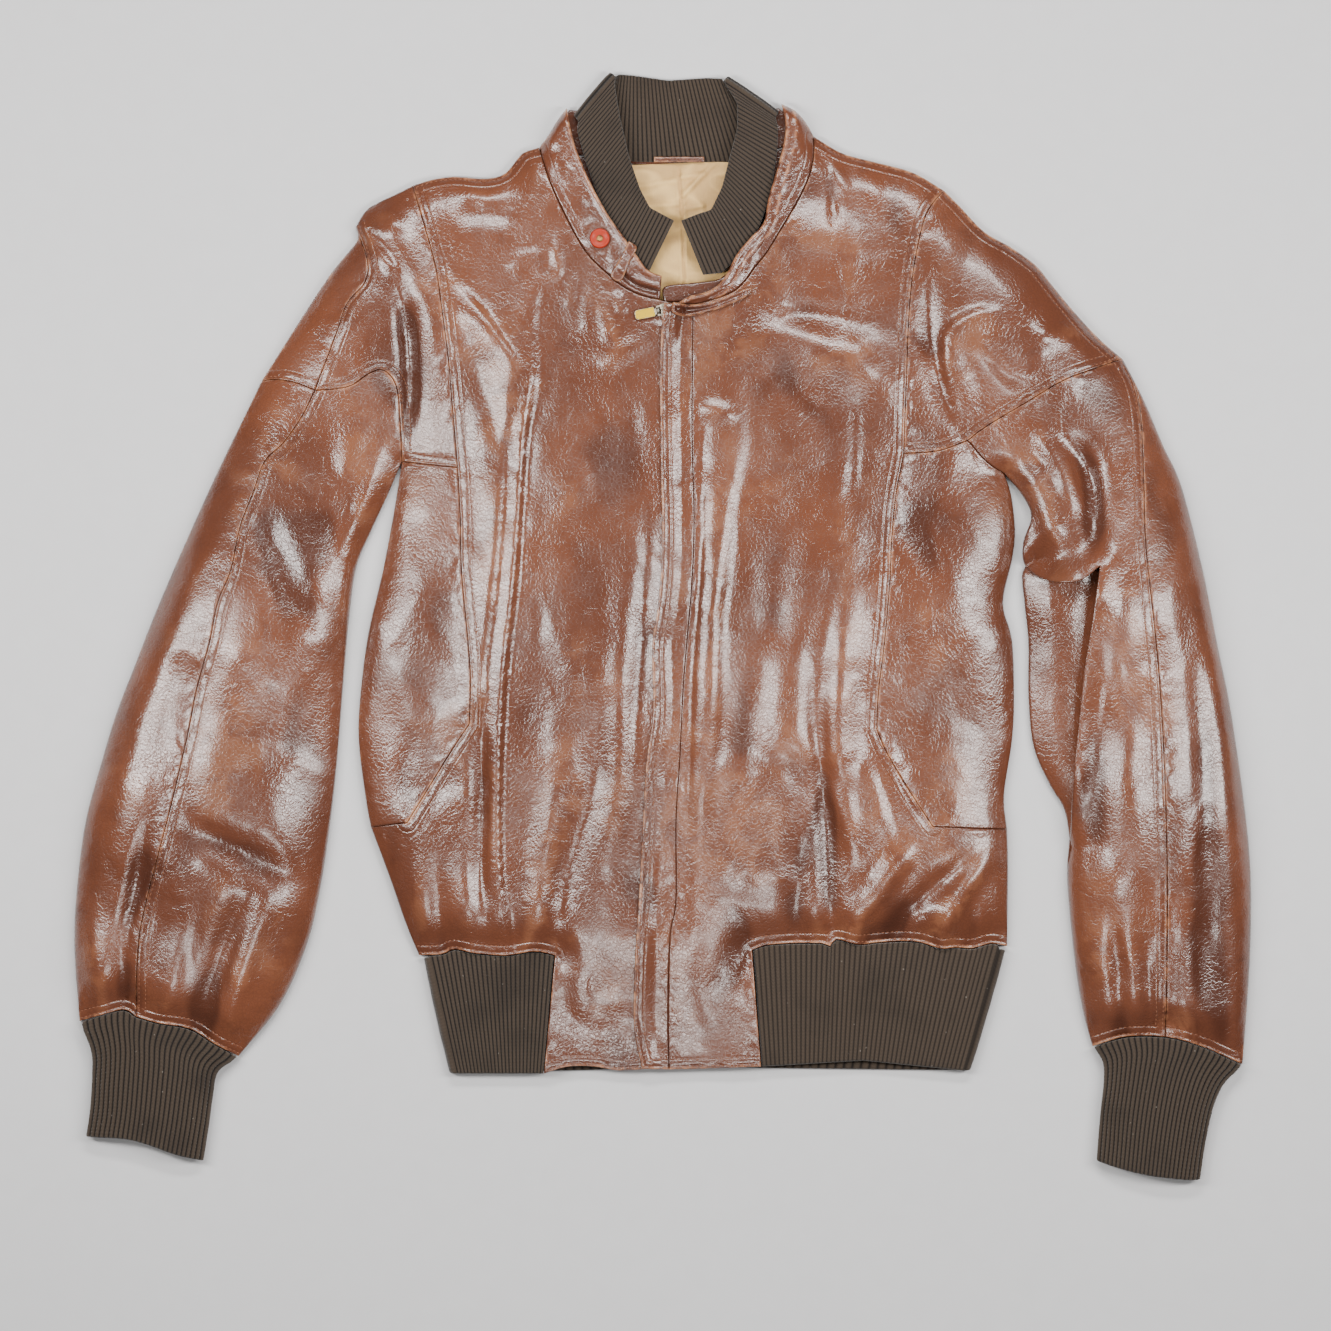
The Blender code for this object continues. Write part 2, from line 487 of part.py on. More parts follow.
def wanted_points():
    # Points on the folds and beside the side folds first, and then an even grid.
    wanted = []
    for row in RIM_ROWS:
        for name in SIDE_FOLDS:
            line = seam(name)
            wanted += list(beside(line, row)) + list(beside(line, -row))
    for line, _, width in FOLDS.values():
        crest = smooth_line(place(line), CREST_STEP)
        foot = FOLD_FOOT * width * MILLIMETRE
        wanted += list(crest) + list(beside(crest, foot)) + list(beside(crest, -foot))
    rows = np.arange(-HALF_LENGTH, HALF_LENGTH, GRID_STEP * math.sqrt(3) / 2)
    for index, y in enumerate(rows):
        shift = GRID_STEP / 2 * (index % 2)
        wanted += [(x + shift, y) for x in np.arange(-HALF_WIDTH, HALF_WIDTH, GRID_STEP)]
    return np.array(wanted)


all_wanted = wanted_points()


def fill(loop, wanted, space, lines=()):
    # Triangles inside the loop, through the wanted points that keep their space.
    inside = wanted[is_inside(wanted, loop)]
    closed = np.vstack([loop, loop[:1]])
    kept = list(loop) + [point for line in lines for point in line]
    for point in inside:
        if np.linalg.norm(np.array(kept) - point, axis=1).min() > space:
            if nearest(point[None], closed)[0][0] > EDGE_SPACE * space:
                kept.append(point)
    count = len(loop)
    edges = [(i, (i + 1) % count) for i in range(count)]
    start = count
    for line in lines:
        edges += [(start + i, start + i + 1) for i in range(len(line) - 1)]
        start += len(line)
    points, _, faces, *_ = delaunay_2d_cdt([Vector(p) for p in kept], edges, [], 1, 1e-7)
    return np.array([tuple(p) for p in points]), [tuple(face) for face in faces]


def wall(name, plan, faces, low, high, colour):
    # A closed wall between two surfaces over one plan.
    count = len(plan)
    vertices = [(x, y, z) for (x, y), z in zip(plan, low)] + [(x, y, z) for (x, y), z in zip(plan, high)]
    sides = {}
    for face in faces:
        for a, b in zip(face, face[1:] + face[:1]):
            if (b, a) in sides:
                del sides[(b, a)]
            else:
                sides[(a, b)] = True
    shell = [tuple(i + count for i in face) for face in faces] + [face[::-1] for face in faces]
    shell += [(a, b, b + count, a + count) for a, b in sides]
    return add_object(name, vertices, shell, colour)


def top_of(objects, places):
    # The height of the topmost of these objects over each place.
    heights = np.zeros(len(places))
    for made in objects:
        mesh = made.data
        corners = [vertex.co for vertex in mesh.vertices]
        tree = BVHTree.FromPolygons(corners, [tuple(polygon.vertices) for polygon in mesh.polygons])
        for index, (x, y) in enumerate(places):
            hit = tree.ray_cast(Vector((x, y, 0.2)), Vector((0, 0, -1)))[0]
            if hit:
                heights[index] = max(heights[index], hit.z)
    return heights


def cloth_panel(name, names):
    loop = inset(outline(names), SEAM_GAP / 2)
    lines = []
    if name == "front_left":
        lines.append(inset_line(seam("placket_edge")))
    if name == "placket":
        lines.append(inset_line(seam("placket_edge>")))
    plan, faces = fill(loop, all_wanted, POINT_SPACE * GRID_STEP, lines)
    thickness = upright_thickness(plan)
    low = underside(plan)
    if name == "placket":
        low = low + placket_lift(plan, thickness)
    if name == "sleeve_right_upper":
        low = low + fold_lift(plan)
    return wall(name, plan, faces, low, low + thickness, "leather")


def inset_line(line):
    # A line that stops just short of the outline at both of its ends.
    line = line.copy()
    line[0] += (line[1] - line[0]) * 0.05
    line[-1] += (line[-2] - line[-1]) * 0.05
    return line


def placket_lift(plan, thickness):
    # The placket lies on the left front at its free edge, over the zip slider at its top.
    edge = seam("placket_edge", FINE_STEP)
    away = nearest(plan, edge)[0] / (PLACKET_OVERLAP * POINT)
    slider = np.exp(-((plan[:, 1] - place([PIVOT_PLACE])[0, 1]) / SLIDER_REACH) ** 2)
    return (thickness + 2 * SEAM_GAP + SLIDER_HUMP * slider) * soften(PLACKET_FADE - away)


def fold_lift(plan):
    # The upper sleeve rolls over the part that lies under it.
    edge = seam("sleeve_inner_right", FINE_STEP)
    lap = np.vstack([seam("tongue", FINE_STEP)[:4][::-1], edge[::-1][1:]])
    distance = nearest(plan, lap)[0]
    upper = soften((plan[:, 1] - LAP_END) / LAP_FADE)
    return LAP_LIFT * (1 - soften(distance / LAP_REACH)) * upper


def flat_panel(name, names):
    loop = inset(outline(names), SEAM_GAP / 2)
    plan, faces = fill(loop, np.empty((0, 2)), GRID_STEP)
    low = np.zeros(len(plan))
    return wall(name, plan, faces, low, low + LEATHER, "leather")


def lining_panel():
    loop = outline(["lining_edge"])
    plan, faces = fill(loop, all_wanted, 0.020)
    low = np.full(len(plan), BASE)
    return wall("lining", plan, faces, low, low + LINING, "lining")


def band_panel(name, names, neck, free, end, crest):
    # A collar band: at its seam it follows the front, and its free edge stands over the knit.
    loop = inset(outline(names), SEAM_GAP / 2)
    plan, faces = fill(loop, all_wanted, 0.011)
    to_neck = nearest(plan, seam(neck, FINE_STEP))[0]
    to_free, travelled, length = nearest(plan, seam(free, FINE_STEP))
    share = soften(to_neck / (to_neck + to_free + 1e-9))
    rise = between(crest[0], crest[1], soften(travelled / length * BAND_RISE_SPAN))
    low = underside(plan) * (1 - share) + rise * share
    low = BASE + (low - BASE) * dome(nearest(plan, seam(end, FINE_STEP))[0], BAND_END_REACH)
    return wall(name, plan, faces, low, low + BAND_LEATHER, "leather")


def laid_on(name, edge, carriers, thickness):
    # A strap that lies on other pieces and follows them.
    loop = outline([edge], STRAP_STEP)
    plan, faces = fill(loop, all_wanted, STRAP_STEP)
    turns = np.linspace(0, 2 * math.pi, 8, endpoint=False)
    around = [STRAP_PROBE * np.array([math.cos(turn), math.sin(turn)]) for turn in turns]
    low = np.max([top_of(carriers, plan + shift) for shift in around + [np.zeros(2)]], axis=0)
    carried = np.flatnonzero(low)
    for index in np.flatnonzero(low == 0):
        low[index] = low[carried[np.linalg.norm(plan[carried] - plan[index], axis=1).argmin()]]
    low = low + STRAP_CLEARANCE
    return wall(name, plan, faces, low, low + thickness, "leather")


def between(start, end, share):
    return np.asarray(start, float) * (1 - share) + np.asarray(end, float) * share


def knit_wall(name, inner, outer):
    # A knit wall from columns of inner and outer points; the inner ones keep only their first and last row.
    inner, outer = np.array(inner), np.array(outer)
    columns, rows = outer.shape[:2]
    vertices = list(outer.reshape(-1, 3)) + list(inner.reshape(-1, 3))
    start = columns * rows

    def out(column, row):
        return column * rows + row

    def back(column, row):
        return start + column * 2 + row

    faces = []
    last = rows - 1
    for column in range(columns - 1):
        for row in range(last):
            faces.append((out(column, row), out(column + 1, row), out(column + 1, row + 1),
                          out(column, row + 1)))
        faces.append((back(column, 0), back(column, 1), back(column + 1, 1), back(column + 1, 0)))
        faces.append((out(column, 0), back(column, 0), back(column + 1, 0), out(column + 1, 0)))
        faces.append((out(column, last), out(column + 1, last), back(column + 1, 1), back(column, 1)))
    faces.append(tuple(out(0, row) for row in range(rows)) + (back(0, 1), back(0, 0)))
    faces.append(tuple(out(columns - 1, row) for row in reversed(range(rows)))
                 + (back(columns - 1, 0), back(columns - 1, 1)))
    made = add_object(name, vertices, faces, "knit")
    face_outwards(made)
    return made


def face_outwards(made):
    mesh = bmesh.new()
    mesh.from_mesh(made.data)
    bmesh.ops.triangulate(mesh, faces=mesh.faces)
    bmesh.ops.recalc_face_normals(mesh, faces=mesh.faces)
    mesh.to_mesh(made.data)
    mesh.free()


def fold_columns(crease, radius, low_inside, outward, steps, tall):
    # Columns round a fold: the inside lies on a half circle, and the wall grows out from it.
    columns = []
    for step in range(steps + 1):
        angle = math.pi * (step / steps - 0.5)
        normal = np.array([outward[0] * math.cos(angle), outward[1] * math.cos(angle), math.sin(angle)])
        column = []
        for point in crease:
            centre = point - np.asarray(outward) * (radius + tall)
            column.append((np.array([centre[0], centre[1], low_inside + radius]) + normal * radius, normal))
        columns.append(column)
    return columns


def collar():
    inner, outer = [], []

    def add(points, normals, thickness, rise):
        # The first and last points are the free and the seam edge; the wall bulges a little between them.
        middle = 0.5 * (points[0] + points[1]) + (0, 0, COLLAR_BULGE)
        inner.append([points[0], points[1]])
        raised = thickness + rise
        outer.append([points[0] + normals[0] * raised, middle + normals[0] * raised,
                      points[1] + normals[1] * raised])

    def add_strip(strip):
        up = np.array([0, 0, 1.0])
        for start, end in zip(strip[:-1], strip[1:]):
            steps = 2 * start[4]
            for step in range(steps):
                share = step / steps
                free = place([between(start[0], end[0], share)])[0]
                sewn = place([between(start[1], end[1], share)])[0]
                free_height = between(start[2], end[2], share) * MILLIMETRE
                sewn_height = between(start[3], end[3], share) * MILLIMETRE
                points = [np.array([*free, free_height]), np.array([*sewn, sewn_height])]
                add(points, [up, up], KNIT, RIB_RISE * (step % 2))

    def add_crease(crease, outward, backwards):
        outward = np.asarray(outward) / np.linalg.norm(outward)
        columns = fold_columns(place(crease), COLLAR_FOLD, COLLAR_INSIDE, outward, 6, KNIT)
        for index, column in enumerate(columns[::-1] if backwards else columns):
            add([column[0][0], column[1][0]], [column[0][1], column[1][1]], KNIT, 0)

    def add_back():
        down = np.array([0, 0, -1.0])
        for start, end in zip(BACK_STRIP[:-1], BACK_STRIP[1:]):
            steps = 2 * start[2]
            for step in range(steps):
                share = step / steps
                free = place([between(start[0], end[0], share)])[0]
                sewn = place([between(start[1], end[1], share)])[0]
                rise = RIB_RISE * (step % 2)
                points = [np.array([*free, COLLAR_INSIDE + rise]), np.array([*sewn, COLLAR_INSIDE + rise])]
                inner.append(points)
                drop = down * (KNIT + rise)
                outer.append([points[0] + drop, 0.5 * (points[0] + points[1]) + drop, points[1] + drop])

    add_strip(RIGHT_STRIP)
    add_crease(RIGHT_CREASE, (0.61, 0.79), True)
    add_back()
    add_crease(LEFT_CREASE, (-0.77, 0.64), False)
    add_strip(LEFT_STRIP)
    return knit_wall("collar_knit", inner, outer)


def along(line, shares):
    # Places along a line at shares of its length.
    lengths = np.concatenate([[0], np.cumsum(np.linalg.norm(np.diff(line, axis=0), axis=1))])
    at = np.asarray(shares) * lengths[-1]
    return np.stack([np.interp(at, lengths, line[:, 0]), np.interp(at, lengths, line[:, 1])], 1)


def waistband():
    # One knit strip from the left hem tab round the back to the right one.
    below = np.array([0, -KNIT_DROP])
    inside_back, inside_front = KNIT, KNIT + 2 * WAIST_FOLD
    inner, outer = [], []

    def add(top, bottom, height, normal, rise=0.0):
        points = [np.array([*top, height]), np.array([*bottom, height])]
        inner.append(points)
        outer.append([point + normal * (KNIT + rise) for point in points])

    def add_front(hem, bottom, ribs):
        shares = np.linspace(0, 1, 2 * ribs + 1)
        tops, bottoms = along(hem, shares) + below, along(bottom, shares)
        for index, (top, low) in enumerate(zip(tops, bottoms)):
            add(top, low, inside_front, np.array([0, 0, 1.0]), RIB_RISE * (index % 2))

    def add_fold(crease, outward, upwards):
        columns = fold_columns(crease, WAIST_FOLD, inside_back, outward, 4, KNIT)[1:-1]
        for column in columns if upwards else columns[::-1]:
            inner.append([column[0][0], column[1][0]])
            outer.append([point + normal * KNIT for point, normal in column])

    left_crease, right_crease = place([(425, 957), (451, 1073)]), place([(1004, 949), (969, 1070)])
    in_from_fold = np.array([WAIST_FOLD + KNIT, 0])
    left_hem = seam("-hem_left")
    right_hem = seam("-hem_right")
    left_top = clip_line(left_hem, place([(554, 0)])[0, 0], left_crease[0, 0] + in_from_fold[0])
    right_top = clip_line(right_hem, place([(753, 0)])[0, 0], right_crease[0, 0] - in_from_fold[0])
    left_bottom = np.array([place([(543.4, 1073)])[0], left_crease[1] + in_from_fold])
    right_bottom = np.array([place([(761.7, 1066)])[0], place([(863, 1060)])[0],
                             right_crease[1] - in_from_fold])
    add_front(left_top, left_bottom, WAIST_RIBS_LEFT)
    add_fold(left_crease, np.array([-1.0, 0]), False)
    back_top = clip_line(seam("back_hem")[::-1], left_top[-1, 0], right_top[-1, 0])
    back_bottom = np.array([left_bottom[-1], place([(700, 1067)])[0], right_bottom[-1]])
    for share in np.linspace(0, 1, 9):
        add(along(back_top, [share])[0] + below, along(back_bottom, [share])[0], inside_back,
            np.array([0, 0, -1.0]))
    add_fold(right_crease, np.array([1.0, 0]), True)
    add_front(right_top[::-1], right_bottom[::-1], WAIST_RIBS_RIGHT)
    return knit_wall("waist_rib", inner, outer)


def clip_line(line, start, end):
    # The stretch of a line between two places on X, from the start to the end.
    if line[0, 0] > line[-1, 0]:
        line = line[::-1]
    low, high = min(start, end), max(start, end)
    middle = line[(line[:, 0] > low) & (line[:, 0] < high)]
    ends = np.interp([low, high], line[:, 0], line[:, 1])
    clipped = np.vstack([[low, ends[0]], middle, [high, ends[1]]])
    return clipped if start < end else clipped[::-1]


def ring_point(share, height, lower):
    # A flattened ring's section: a flat underside, round sides and a low crown, as across and up.
    across = 2 * share - 1
    if lower:
        return 0.5 * height * (1 - (1 - abs(across) ** CUFF_UNDERSIDE) ** 0.5)
    return 0.5 * height * (1 + (1 - abs(across) ** CUFF_CROWN) ** 0.5)


def cuff(name, hem_names, shape):
    hem = np.vstack([seam(hem_names[0]), seam(hem_names[1])[1:]])
    near = smooth_line(place(shape["near"]), 2 * FINE_STEP)
    far = smooth_line(place(shape["far"]), 2 * FINE_STEP)
    mouth = smooth_line(place(shape["mouth"]), 2 * FINE_STEP)
    start = clip_line(hem, near[0, 0] + SEAM_GAP, far[0, 0] - SEAM_GAP) - (0, KNIT_DROP)
    near[0], far[0] = start[0], start[-1]
    top_shares = np.linspace(0, 1, 2 * CUFF_RIBS + 1)
    low_shares = np.linspace(1, 0, 9)[1:-1]

    def plan_at(across, down):
        upper, lower = along(start, [across])[0], along(mouth, [across])[0]
        left, right = along(near, [down])[0], along(far, [down])[0]
        corners = ((1 - across) * (1 - down) * start[0] + across * (1 - down) * start[-1]
                   + (1 - across) * down * mouth[0] + across * down * mouth[-1])
        return (1 - down) * upper + down * lower + (1 - across) * left + across * right - corners

    def ring(down, raised, shrink):
        height = between(CUFF_HEIGHT_START, CUFF_HEIGHT_MOUTH, down) - 2 * shrink
        left, right = plan_at(0, down), plan_at(1, down)
        width = np.linalg.norm(right - left)
        points = []
        for index, share in enumerate(list(top_shares) + list(low_shares)):
            lower = index >= len(top_shares)
            narrowed = 0.5 + (share - 0.5) * (1 - 2 * shrink / width)
            x, y = plan_at(narrowed, down)
            z = shrink + ring_point(share, height, lower)
            is_rib = raised and not lower and index % 2 == 1
            points.append((x, y, z + (RIB_RISE if is_rib else 0)))
        return points

    outer_rings = [ring(0, True, 0), ring(0.5, True, 0), ring(1, True, 0)]
    inner_rings = [ring(0, False, KNIT), ring(1, False, KNIT)]
    count = len(outer_rings[0])
    vertices = [point for one in outer_rings + inner_rings for point in one]
    faces = []
    for index in range(count):
        after = (index + 1) % count
        for row in range(2):
            faces.append((row * count + index, row * count + after, (row + 1) * count + after,
                          (row + 1) * count + index))
        faces.append((3 * count + index, 4 * count + index, 4 * count + after, 3 * count + after))
        faces.append((index, 3 * count + index, 3 * count + after, after))
        faces.append((2 * count + index, 2 * count + after, 4 * count + after, 4 * count + index))
    made = add_object(name, vertices, faces, "knit")
    face_outwards(made)
    return made


def lathe(name, profile, centre, height, colour, sides=20):
    # A turned piece: the profile runs from the axis at the bottom, round the rim, to the axis at the top.
    vertices, faces = [(centre[0], centre[1], height + profile[0][1])], []
    for radius, z in profile[1:-1]:
        for side in range(sides):
            angle = 2 * math.pi * side / sides
            x, y = centre[0] + radius * math.cos(angle), centre[1] + radius * math.sin(angle)
            vertices.append((x, y, height + z))
    vertices.append((centre[0], centre[1], height + profile[-1][1]))
    rings = len(profile) - 2
    for side in range(sides):
        after = (side + 1) % sides
        faces.append((0, 1 + after, 1 + side))
        for ring in range(rings - 1):
            a, b = 1 + ring * sides, 1 + (ring + 1) * sides
            faces.append((a + side, a + after, b + after, b + side))
        top = 1 + (rings - 1) * sides
        faces.append((top + side, top + after, len(vertices) - 1))
    made = add_object(name, vertices, faces, colour)
    face_outwards(made)
    return made


def button(carrier):
    centre = place([BUTTON_PLACE])[0]
    turns = np.linspace(0, 2 * math.pi, 16, endpoint=False)
    rim = centre + BUTTON_RADIUS * np.stack([np.cos(turns), np.sin(turns)], 1)
    height = top_of([carrier], np.vstack([rim, centre])).max() + SEAM_GAP
    r, h = BUTTON_RADIUS, BUTTON_HEIGHT
    profile = [(0, 0), (0.80 * r, 0), (r, 0.3 * h), (r, 0.7 * h), (0.88 * r, h), (0.66 * r, 0.82 * h),
               (0.30 * r, 0.78 * h), (0.26 * r, h), (0.12 * r, h), (0, 0.92 * h)]
    return lathe("button", profile, centre, height, "button_red")


def block(name, low, high, colour):
    x0, y0, z0 = low
    x1, y1, z1 = high
    vertices = [(x, y, z) for z in (z0, z1) for x, y in ((x0, y0), (x1, y0), (x1, y1), (x0, y1))]
    faces = [(0, 3, 2, 1), (4, 5, 6, 7), (0, 1, 5, 4), (1, 2, 6, 5), (2, 3, 7, 6), (3, 0, 4, 7)]
    return add_object(name, vertices, faces, colour)


def bar(name, radius, length, colour, sides=16):
    # A round bar along Y, centred on its object's origin.
    angles = [2 * math.pi * (side + 0.5) / sides for side in range(sides)]
    ring = [(radius * math.cos(angle), radius * math.sin(angle)) for angle in angles]
    vertices = [(x, -length / 2, z) for x, z in ring] + [(x, length / 2, z) for x, z in ring]
    faces = [(side, (side + 1) % sides, sides + (side + 1) % sides, sides + side) for side in range(sides)]
    faces += [tuple(reversed(range(sides))), tuple(range(sides, 2 * sides))]
    made = add_object(name, vertices, faces, colour)
    face_outwards(made)
    return made


def combine(made, other, operation):
    step = made.modifiers.new(other.name, "BOOLEAN")
    step.operation = operation
    step.object = other
    step.solver = "EXACT"
    other.hide_render = True
    other.display_type = "WIRE"


def zip_pieces(carrier):
    # The slider with two ears and a pin, and the pull tab that turns on the pin.
    hinge = bpy.data.objects.new("pull_tab_pivot", None)
    bpy.context.scene.collection.objects.link(hinge)
    centre = place([PIVOT_PLACE])[0]
    toward = np.array([-math.cos(TAB_TURN), -math.sin(TAB_TURN)])
    across = np.array([toward[1], -toward[0]])
    footprint = [centre + toward * reach + across * side
                 for reach in np.linspace(-SLIDER_END, TAB_LENGTH, 12)
                 for side in np.linspace(-SLIDER_WIDTH / 2, SLIDER_WIDTH / 2, 5)]
    height = top_of([carrier], footprint).max() + SEAM_GAP + EYE_RADIUS
    hinge.location = (centre[0], centre[1], height)
    hinge.rotation_euler = (0, 0, TAB_TURN)
    body = block("zip_slider", (EYE_RADIUS + TURNING_GAP, -SLIDER_WIDTH / 2, -EYE_RADIUS),
                 (SLIDER_END, SLIDER_WIDTH / 2, SLIDER_TOP), "zip_metal")
    rounding = body.modifiers.new("rounding", "BEVEL")
    rounding.width = TURNING_GAP
    rounding.segments = 2
    for index, side in enumerate((-1, 1)):
        near, far = side * EAR_GAP / 2, side * (EAR_GAP / 2 + EAR_WIDTH)
        ear = block(f"ear_{index}", (-EAR_FRONT, min(near, far), -EAR_FRONT),
                    (EAR_BACK, max(near, far), EAR_TOP), "zip_metal")
        ear.parent = hinge
        combine(body, ear, "UNION")
    pin = bar("pin", PIVOT_RADIUS, EAR_GAP + EAR_WIDTH, "zip_metal", 12)
    pin.parent = hinge
    combine(body, pin, "UNION")
    body.parent = hinge
    plate = block("zip_tab", (-TAB_LENGTH, -TAB_WIDTH / 2, -TAB_THICKNESS / 2),
                  (-PLATE_START, TAB_WIDTH / 2, TAB_THICKNESS / 2), "tab_yellow")
    neck = block("neck", (-1.5 * PLATE_START, -EYE_LENGTH / 2, -TAB_THICKNESS / 2),
                 (0, EYE_LENGTH / 2, TAB_THICKNESS / 2), "tab_yellow")
    eye = bar("eye", EYE_RADIUS, EYE_LENGTH, "tab_yellow")
    hole = bar("eye_hole", EYE_HOLE, 2 * EYE_LENGTH, "tab_yellow")
    round_corners(plate, TAB_CORNER)
    for piece, operation in ((neck, "UNION"), (eye, "UNION"), (hole, "DIFFERENCE")):
        piece.parent = hinge
        combine(plate, piece, operation)
    plate.parent = hinge


def round_corners(made, radius):
    # Rounds the upright edges at the far end of the pull tab.
    mesh = bmesh.new()
    mesh.from_mesh(made.data)
    far = min(vertex.co.x for vertex in mesh.verts)
    edges = [edge for edge in mesh.edges if all(abs(vertex.co.x - far) < 1e-6 for vertex in edge.verts)
             and abs(edge.verts[0].co.y - edge.verts[1].co.y) < 1e-6]
    bmesh.ops.bevel(mesh, geom=edges, offset=radius, segments=5, profile=0.5, affect="EDGES")
    mesh.to_mesh(made.data)
    mesh.free()


def hanger_loop(carrier):
    # A narrow strip sewn over the collar seam at both ends.
    ends = place([(654, 160), (704, 160)])
    count = 7
    half_width = HANGER_WIDTH / 2
    shares = np.linspace(0, 1, count)
    rise = HANGER_RISE * np.sin(math.pi * shares)
    below = [(x, ends[0, 1] + side) for x in np.linspace(ends[0, 0], ends[1, 0], 60)
             for side in (-half_width, half_width)]
    base = top_of([carrier], below).max() + STRAP_CLEARANCE
    plan = []
    for share in shares:
        x = between(ends[0, 0], ends[1, 0], share)
        plan += [(x, ends[0, 1] - half_width), (x, ends[0, 1] + half_width)]
    faces = [(2 * i, 2 * i + 2, 2 * i + 3, 2 * i + 1) for i in range(count - 1)]
    low = np.repeat(base + rise, 2)
    return wall("hanger_loop", np.array(plan), faces, low, low + HANGER_THICKNESS, "leather")


def facing():
    loop = outline(["facing_edge"])
    plan, faces = fill(loop, all_wanted, 0.012)
    low = underside(plan) - FACING_DROP
    return wall("throat_facing", plan, faces, low, low + LEATHER, "leather")


def under_sleeve():
    # The underside of the right sleeve that shows beside its upper panel.
    loop = inset(outline(UNDER_SLEEVE), SEAM_GAP / 2)
    plan, faces = fill(loop, all_wanted, 0.013)
    side = nearest(plan, seam("under_sleeve_edge", FINE_STEP))[0]
    share = UNDER_SLEEVE_SHARE * np.clip(1.2 - side / UNDER_SLEEVE_REACH, 0.5, 1)
    low = BASE + (underside(plan) - BASE) * share
    return wall("sleeve_right_under", plan, faces, low, low + LEATHER, "leather")


def build():
    panels = {name: cloth_panel(name, names) for name, names in PANELS.items()}
    flat_panel("back_panel", BACK_OUTLINE)
    flat_panel("sleeve_left_back", SLEEVE_LEFT_BACK)
    flat_panel("sleeve_right_back", SLEEVE_RIGHT_BACK)
    flat_panel("band_back", BAND_BACK)
    under_sleeve()
    lining_panel()
    knit_collar = collar()
    facing()
    band_left = band_panel("band_left", BAND_LEFT, "neck_left", "band_free_left", "band_end_left",
                           BAND_RISE_LEFT)
    band_right = band_panel("band_right", BAND_RIGHT, "neck_right", "band_free_right", "band_end_right",
                            BAND_RISE_RIGHT)
    laid_on("throat_latch", "latch_edge", [panels["placket"], panels["front_right"], band_right], LEATHER)
    laid_on("keeper_loop", "keeper_edge", [band_left, panels["front_left"]], KEEPER_THICKNESS)
    button(band_left)
    hanger_loop(knit_collar)
    zip_pieces(panels["front_left"])
    waistband()
    cuff("cuff_left", ("cuff_seam_left_a", "cuff_seam_left_b"), CUFF_LEFT)
    cuff("cuff_right", ("cuff_seam_right_a", "cuff_seam_right_b"), CUFF_RIGHT)


build()
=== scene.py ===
# A worn leather blouson, zipped up and laid flat on its back: leather shells, rib knit, lining and closures,
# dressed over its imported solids. Metres; the outlines are in points of the laid-out picture: right, then down.
import json
import math

import bmesh
import bpy
import numpy as np
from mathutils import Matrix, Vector, noise
from mathutils.bvhtree import BVHTree
from mathutils.geometry import delaunay_2d_cdt


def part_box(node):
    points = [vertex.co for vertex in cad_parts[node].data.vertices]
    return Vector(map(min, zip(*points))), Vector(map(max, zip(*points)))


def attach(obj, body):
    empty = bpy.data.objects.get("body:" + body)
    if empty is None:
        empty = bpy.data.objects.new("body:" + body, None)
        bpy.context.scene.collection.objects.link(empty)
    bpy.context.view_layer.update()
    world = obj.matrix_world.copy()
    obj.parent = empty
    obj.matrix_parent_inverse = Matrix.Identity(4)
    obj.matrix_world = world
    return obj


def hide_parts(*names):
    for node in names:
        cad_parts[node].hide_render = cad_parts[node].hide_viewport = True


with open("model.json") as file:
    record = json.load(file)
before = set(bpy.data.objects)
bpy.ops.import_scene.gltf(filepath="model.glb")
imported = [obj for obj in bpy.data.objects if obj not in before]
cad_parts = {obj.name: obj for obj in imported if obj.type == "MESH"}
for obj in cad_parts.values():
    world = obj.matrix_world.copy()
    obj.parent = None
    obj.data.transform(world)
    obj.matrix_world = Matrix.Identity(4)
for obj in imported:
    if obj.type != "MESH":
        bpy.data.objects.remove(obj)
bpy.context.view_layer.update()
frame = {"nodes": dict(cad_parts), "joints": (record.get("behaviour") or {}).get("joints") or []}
print("frame loaded")

